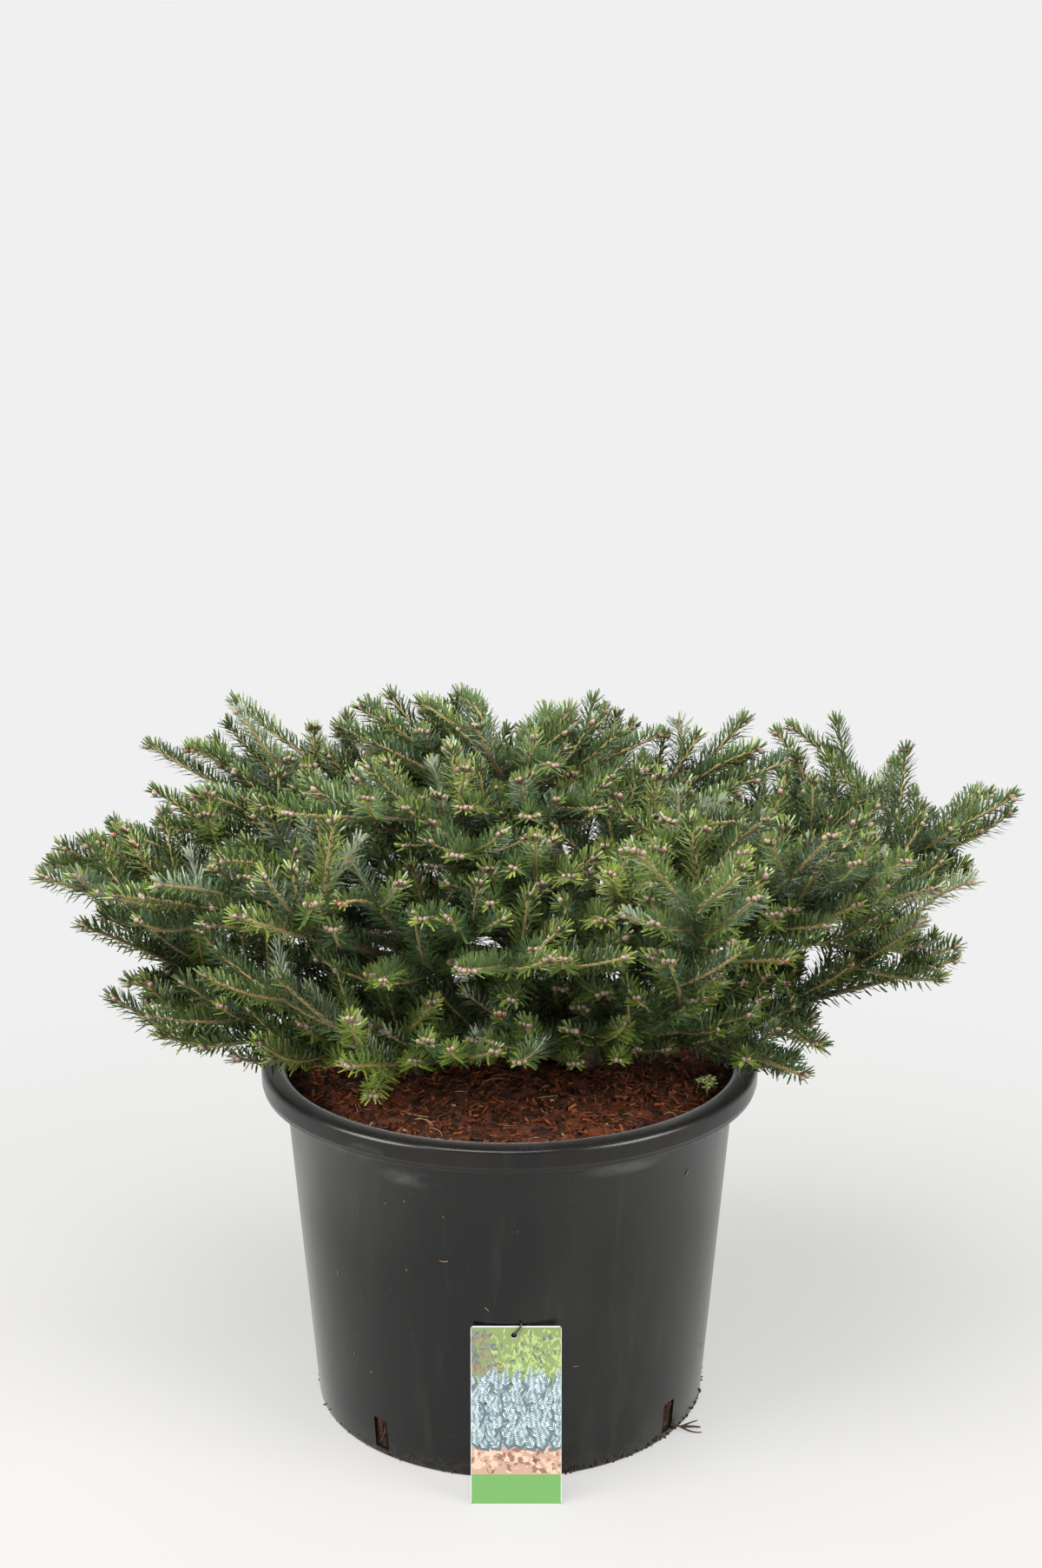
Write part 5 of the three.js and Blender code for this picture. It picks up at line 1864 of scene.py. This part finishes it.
def paint(points, number, layer, around_hole=False):
    """A flat printed shape on the card's face. Points are across and up the card, anticlockwise."""
    points = np.asarray(points, float)
    aside = np.clip(points[:, 0], -half + MARGIN, half - MARGIN)
    points = np.c_[aside, np.clip(points[:, 1], MARGIN, tall - MARGIN)]
    if not around_hole and not clear_of_hole(points):
        return
    height = -thick - FILM * (layer + 1)
    shape = leaned(np.c_[points[:, 0], np.full(len(points), height), points[:, 1]])
    fan = [(0, i, i + 1) for i in range(1, len(points) - 1)]
    card.add(shape, fan, number)


print(f"The print has {len(PRINTS)} colours.")


# %% The printed bands
def cross_2d(a, b):
    return a[0] * b[1] - a[1] * b[0]


def strip(low, high, number, layer):
    """A band across the card that leaves the hole open."""
    if not low < hole[1] < high:
        paint([(-half, low), (half, low), (half, high), (-half, high)], number, layer)
        return
    turns = np.linspace(0, 2 * math.pi, 33)
    rays = np.c_[np.cos(turns), np.sin(turns)]
    ring = hole + (LABEL_EDGES["hole"] + 0.1) * rays
    right, left = half - MARGIN - hole[0], half - MARGIN + hole[0]
    upward, downward = high - MARGIN - hole[1], hole[1] - low
    scale = np.minimum(
        np.where(rays[:, 0] > 0, right, left) / np.maximum(abs(rays[:, 0]), 1e-6),
        np.where(rays[:, 1] > 0, upward, downward) / np.maximum(abs(rays[:, 1]), 1e-6),
    )
    far = hole + rays * scale[:, None]
    corners = [np.array([x, z]) for z in (high - MARGIN, low) for x in (-half, half)]
    for i in range(len(turns) - 1):
        between = []
        for corner in corners:
            way = corner - hole
            if cross_2d(rays[i], way) > 0 > cross_2d(rays[i + 1], way) and way @ rays[i] > 0:
                between.append(corner)
        paint([ring[i], far[i], *between, far[i + 1], ring[i + 1]], number, layer, around_hole=True)


BAND_TOP, GROUND_TOP, MIST_TOP = 22, 42, 84
strip(MARGIN, BAND_TOP, BAND, 0)
strip(BAND_TOP, GROUND_TOP, TAN, 0)
strip(GROUND_TOP, MIST_TOP, MIST, 0)
strip(MIST_TOP, tall - MARGIN, MOSS, 0)
print(f"The ground of the print has {card.size()} triangles.")


# %% Lozenges and leaves
def diamond(x, z, ahead, aside):
    """A rhombus round a place, with its two half diagonals."""
    middle = np.array([x, z])
    return np.array([middle - ahead, middle - aside, middle + ahead, middle + aside])


for _ in range(150):
    x, z = rng.uniform(-half, half), rng.uniform(BAND_TOP + 2, GROUND_TOP - 1)
    turn, long, wide = rng.uniform(0, math.pi), rng.uniform(2, 4.5), rng.uniform(1, 2.2)
    ahead, aside = np.array([math.cos(turn), math.sin(turn)]), np.array([-math.sin(turn), math.cos(turn)])
    lozenge = diamond(x, z, ahead * long, aside * wide)
    lozenge[:, 1] = np.maximum(lozenge[:, 1], BAND_TOP + 0.1)
    look = int(rng.choice([BROWN, SAND, TAN], p=[0.3, 0.5, 0.2]))
    paint(lozenge, look, 1 + rng.random())
for _ in range(520):
    x, z = rng.uniform(-half, half), rng.uniform(MIST_TOP + 1, tall - 3)
    turn, long, wide = rng.normal(0, 0.8), rng.uniform(1.6, 3.6), rng.uniform(0.5, 1.1)
    shaded = x < -8 - (z - MIST_TOP) * 0.25 + rng.normal(0, 3)
    looks, chances = [LEAF, MOSS, SLATE], [0.55, 0.33, 0.12]
    if shaded:
        looks, chances = [TAUPE, SLATE, BROWN], [0.6, 0.25, 0.15]
    look = int(rng.choice(looks, p=chances))
    ahead, aside = np.array([math.sin(turn), math.cos(turn)]), np.array([math.cos(turn), -math.sin(turn)])
    if math.dist((x, z), hole) > long + 3:
        paint(diamond(x, z, ahead * long, -aside * wide), look, 1 + rng.random())
print(f"With lozenges and leaves it has {card.size()}.")


# %% Sprigs
def sprig(x, z, tall_by, turn, layer):
    """A stalk with pairs of slim leaves over its own shadow."""
    ahead = np.array([math.sin(turn), math.cos(turn)])
    aside = np.array([ahead[1], -ahead[0]])
    foot = np.array([x, z])
    waist, top = foot + ahead * 2, foot + ahead * tall_by * 0.8
    paint([foot - ahead * 3, waist + aside * 5, top, waist - aside * 5], SLATE, layer)
    for pair in range(9):
        spot = foot + ahead * tall_by * (pair + 0.5) / 9
        size = tall_by * 0.32 * (1 - 0.07 * pair)
        for hand in (-1, 1):
            direction = unit(aside * hand + ahead * 0.8)
            width = np.array([-direction[1], direction[0]]) * size * 0.11
            middle = spot + direction * size * 0.6
            look = int(rng.choice([ICE, MIST, EDGE], p=[0.62, 0.26, 0.12]))
            leaf = [spot, middle - width, spot + direction * size, middle + width]
            paint(leaf, look, layer + 0.2 + 0.1 * rng.random())
    paint([foot - aside * 0.25, foot + aside * 0.25, foot + ahead * tall_by], MIST, layer + 0.4)


for row, z in enumerate(np.arange(MIST_TOP + 3, GROUND_TOP - 6, -6.4)):
    for x in np.arange(-half + (row % 2) * 4, half + 2, 8):
        place_x, place_z = x + rng.uniform(-1, 1), z + rng.uniform(-1, 1)
        sprig(place_x, place_z, rng.uniform(12, 16), rng.normal(0, 0.35), 2.2 + 0.5 * row)
print(f"With the sprigs it has {card.size()}.")

# %% Card and print in one
blank.clear()
blank.from_mesh(label.data)
blank.transform(Matrix.Scale(MM, 4) @ Matrix(lean) @ Matrix.Scale(1 / MM, 4))
blank.from_mesh(card.mesh("label_print", print_materials, smooth=False))
label.data.clear_geometry()
blank.to_mesh(label.data)
blank.free()
for material in print_materials:
    label.data.materials.append(material)
print(f"The label has {len(label.data.polygons)} faces.")

# %% [markdown]
# ## The tie
#
# A thin black cord runs through the hole and over the card's top edge, and holds the label to the pot. A
# circle would stand off the card like a key ring. A smooth line through nine given points lies close to both
# of its faces, and the tube function makes it round.

# %% The tie
TIE = dict(thickness=1.3, off=0.75, slack=0.42, drift=5)
away = thick + TIE["off"] + TIE["slack"]
over = tall + TIE["off"] + TIE["slack"]
aside, halfway = hole[0] + TIE["drift"], mix(hole[1], over, 0.5)
between_both = hole[0] + TIE["drift"] / 2
loop = smooth_through([
    (hole[0], -away * 0.4, hole[1] - 0.2), (hole[0], -away, hole[1] + 1), (between_both, -away, halfway),
    (aside, -away * 0.8, over - 0.4), (aside, 0, over + 0.5), (aside, away * 0.8, over - 0.4),
    (between_both, away, halfway), (hole[0], away, hole[1] + 1), (hole[0], away * 0.2, hole[1]),
], 6)
tie = Pile()
tie.add(*tube(leaned(loop), np.full(len(loop), TIE["thickness"] / 2), 8), 0)
tie_black = new_material("tie_black", (0.012, 0.012, 0.012), 0.5)
tie.make("label_cord", [tie_black], "tie_plastic", ["label_tie"])
print(f"The tie has {tie.size()} triangles.")
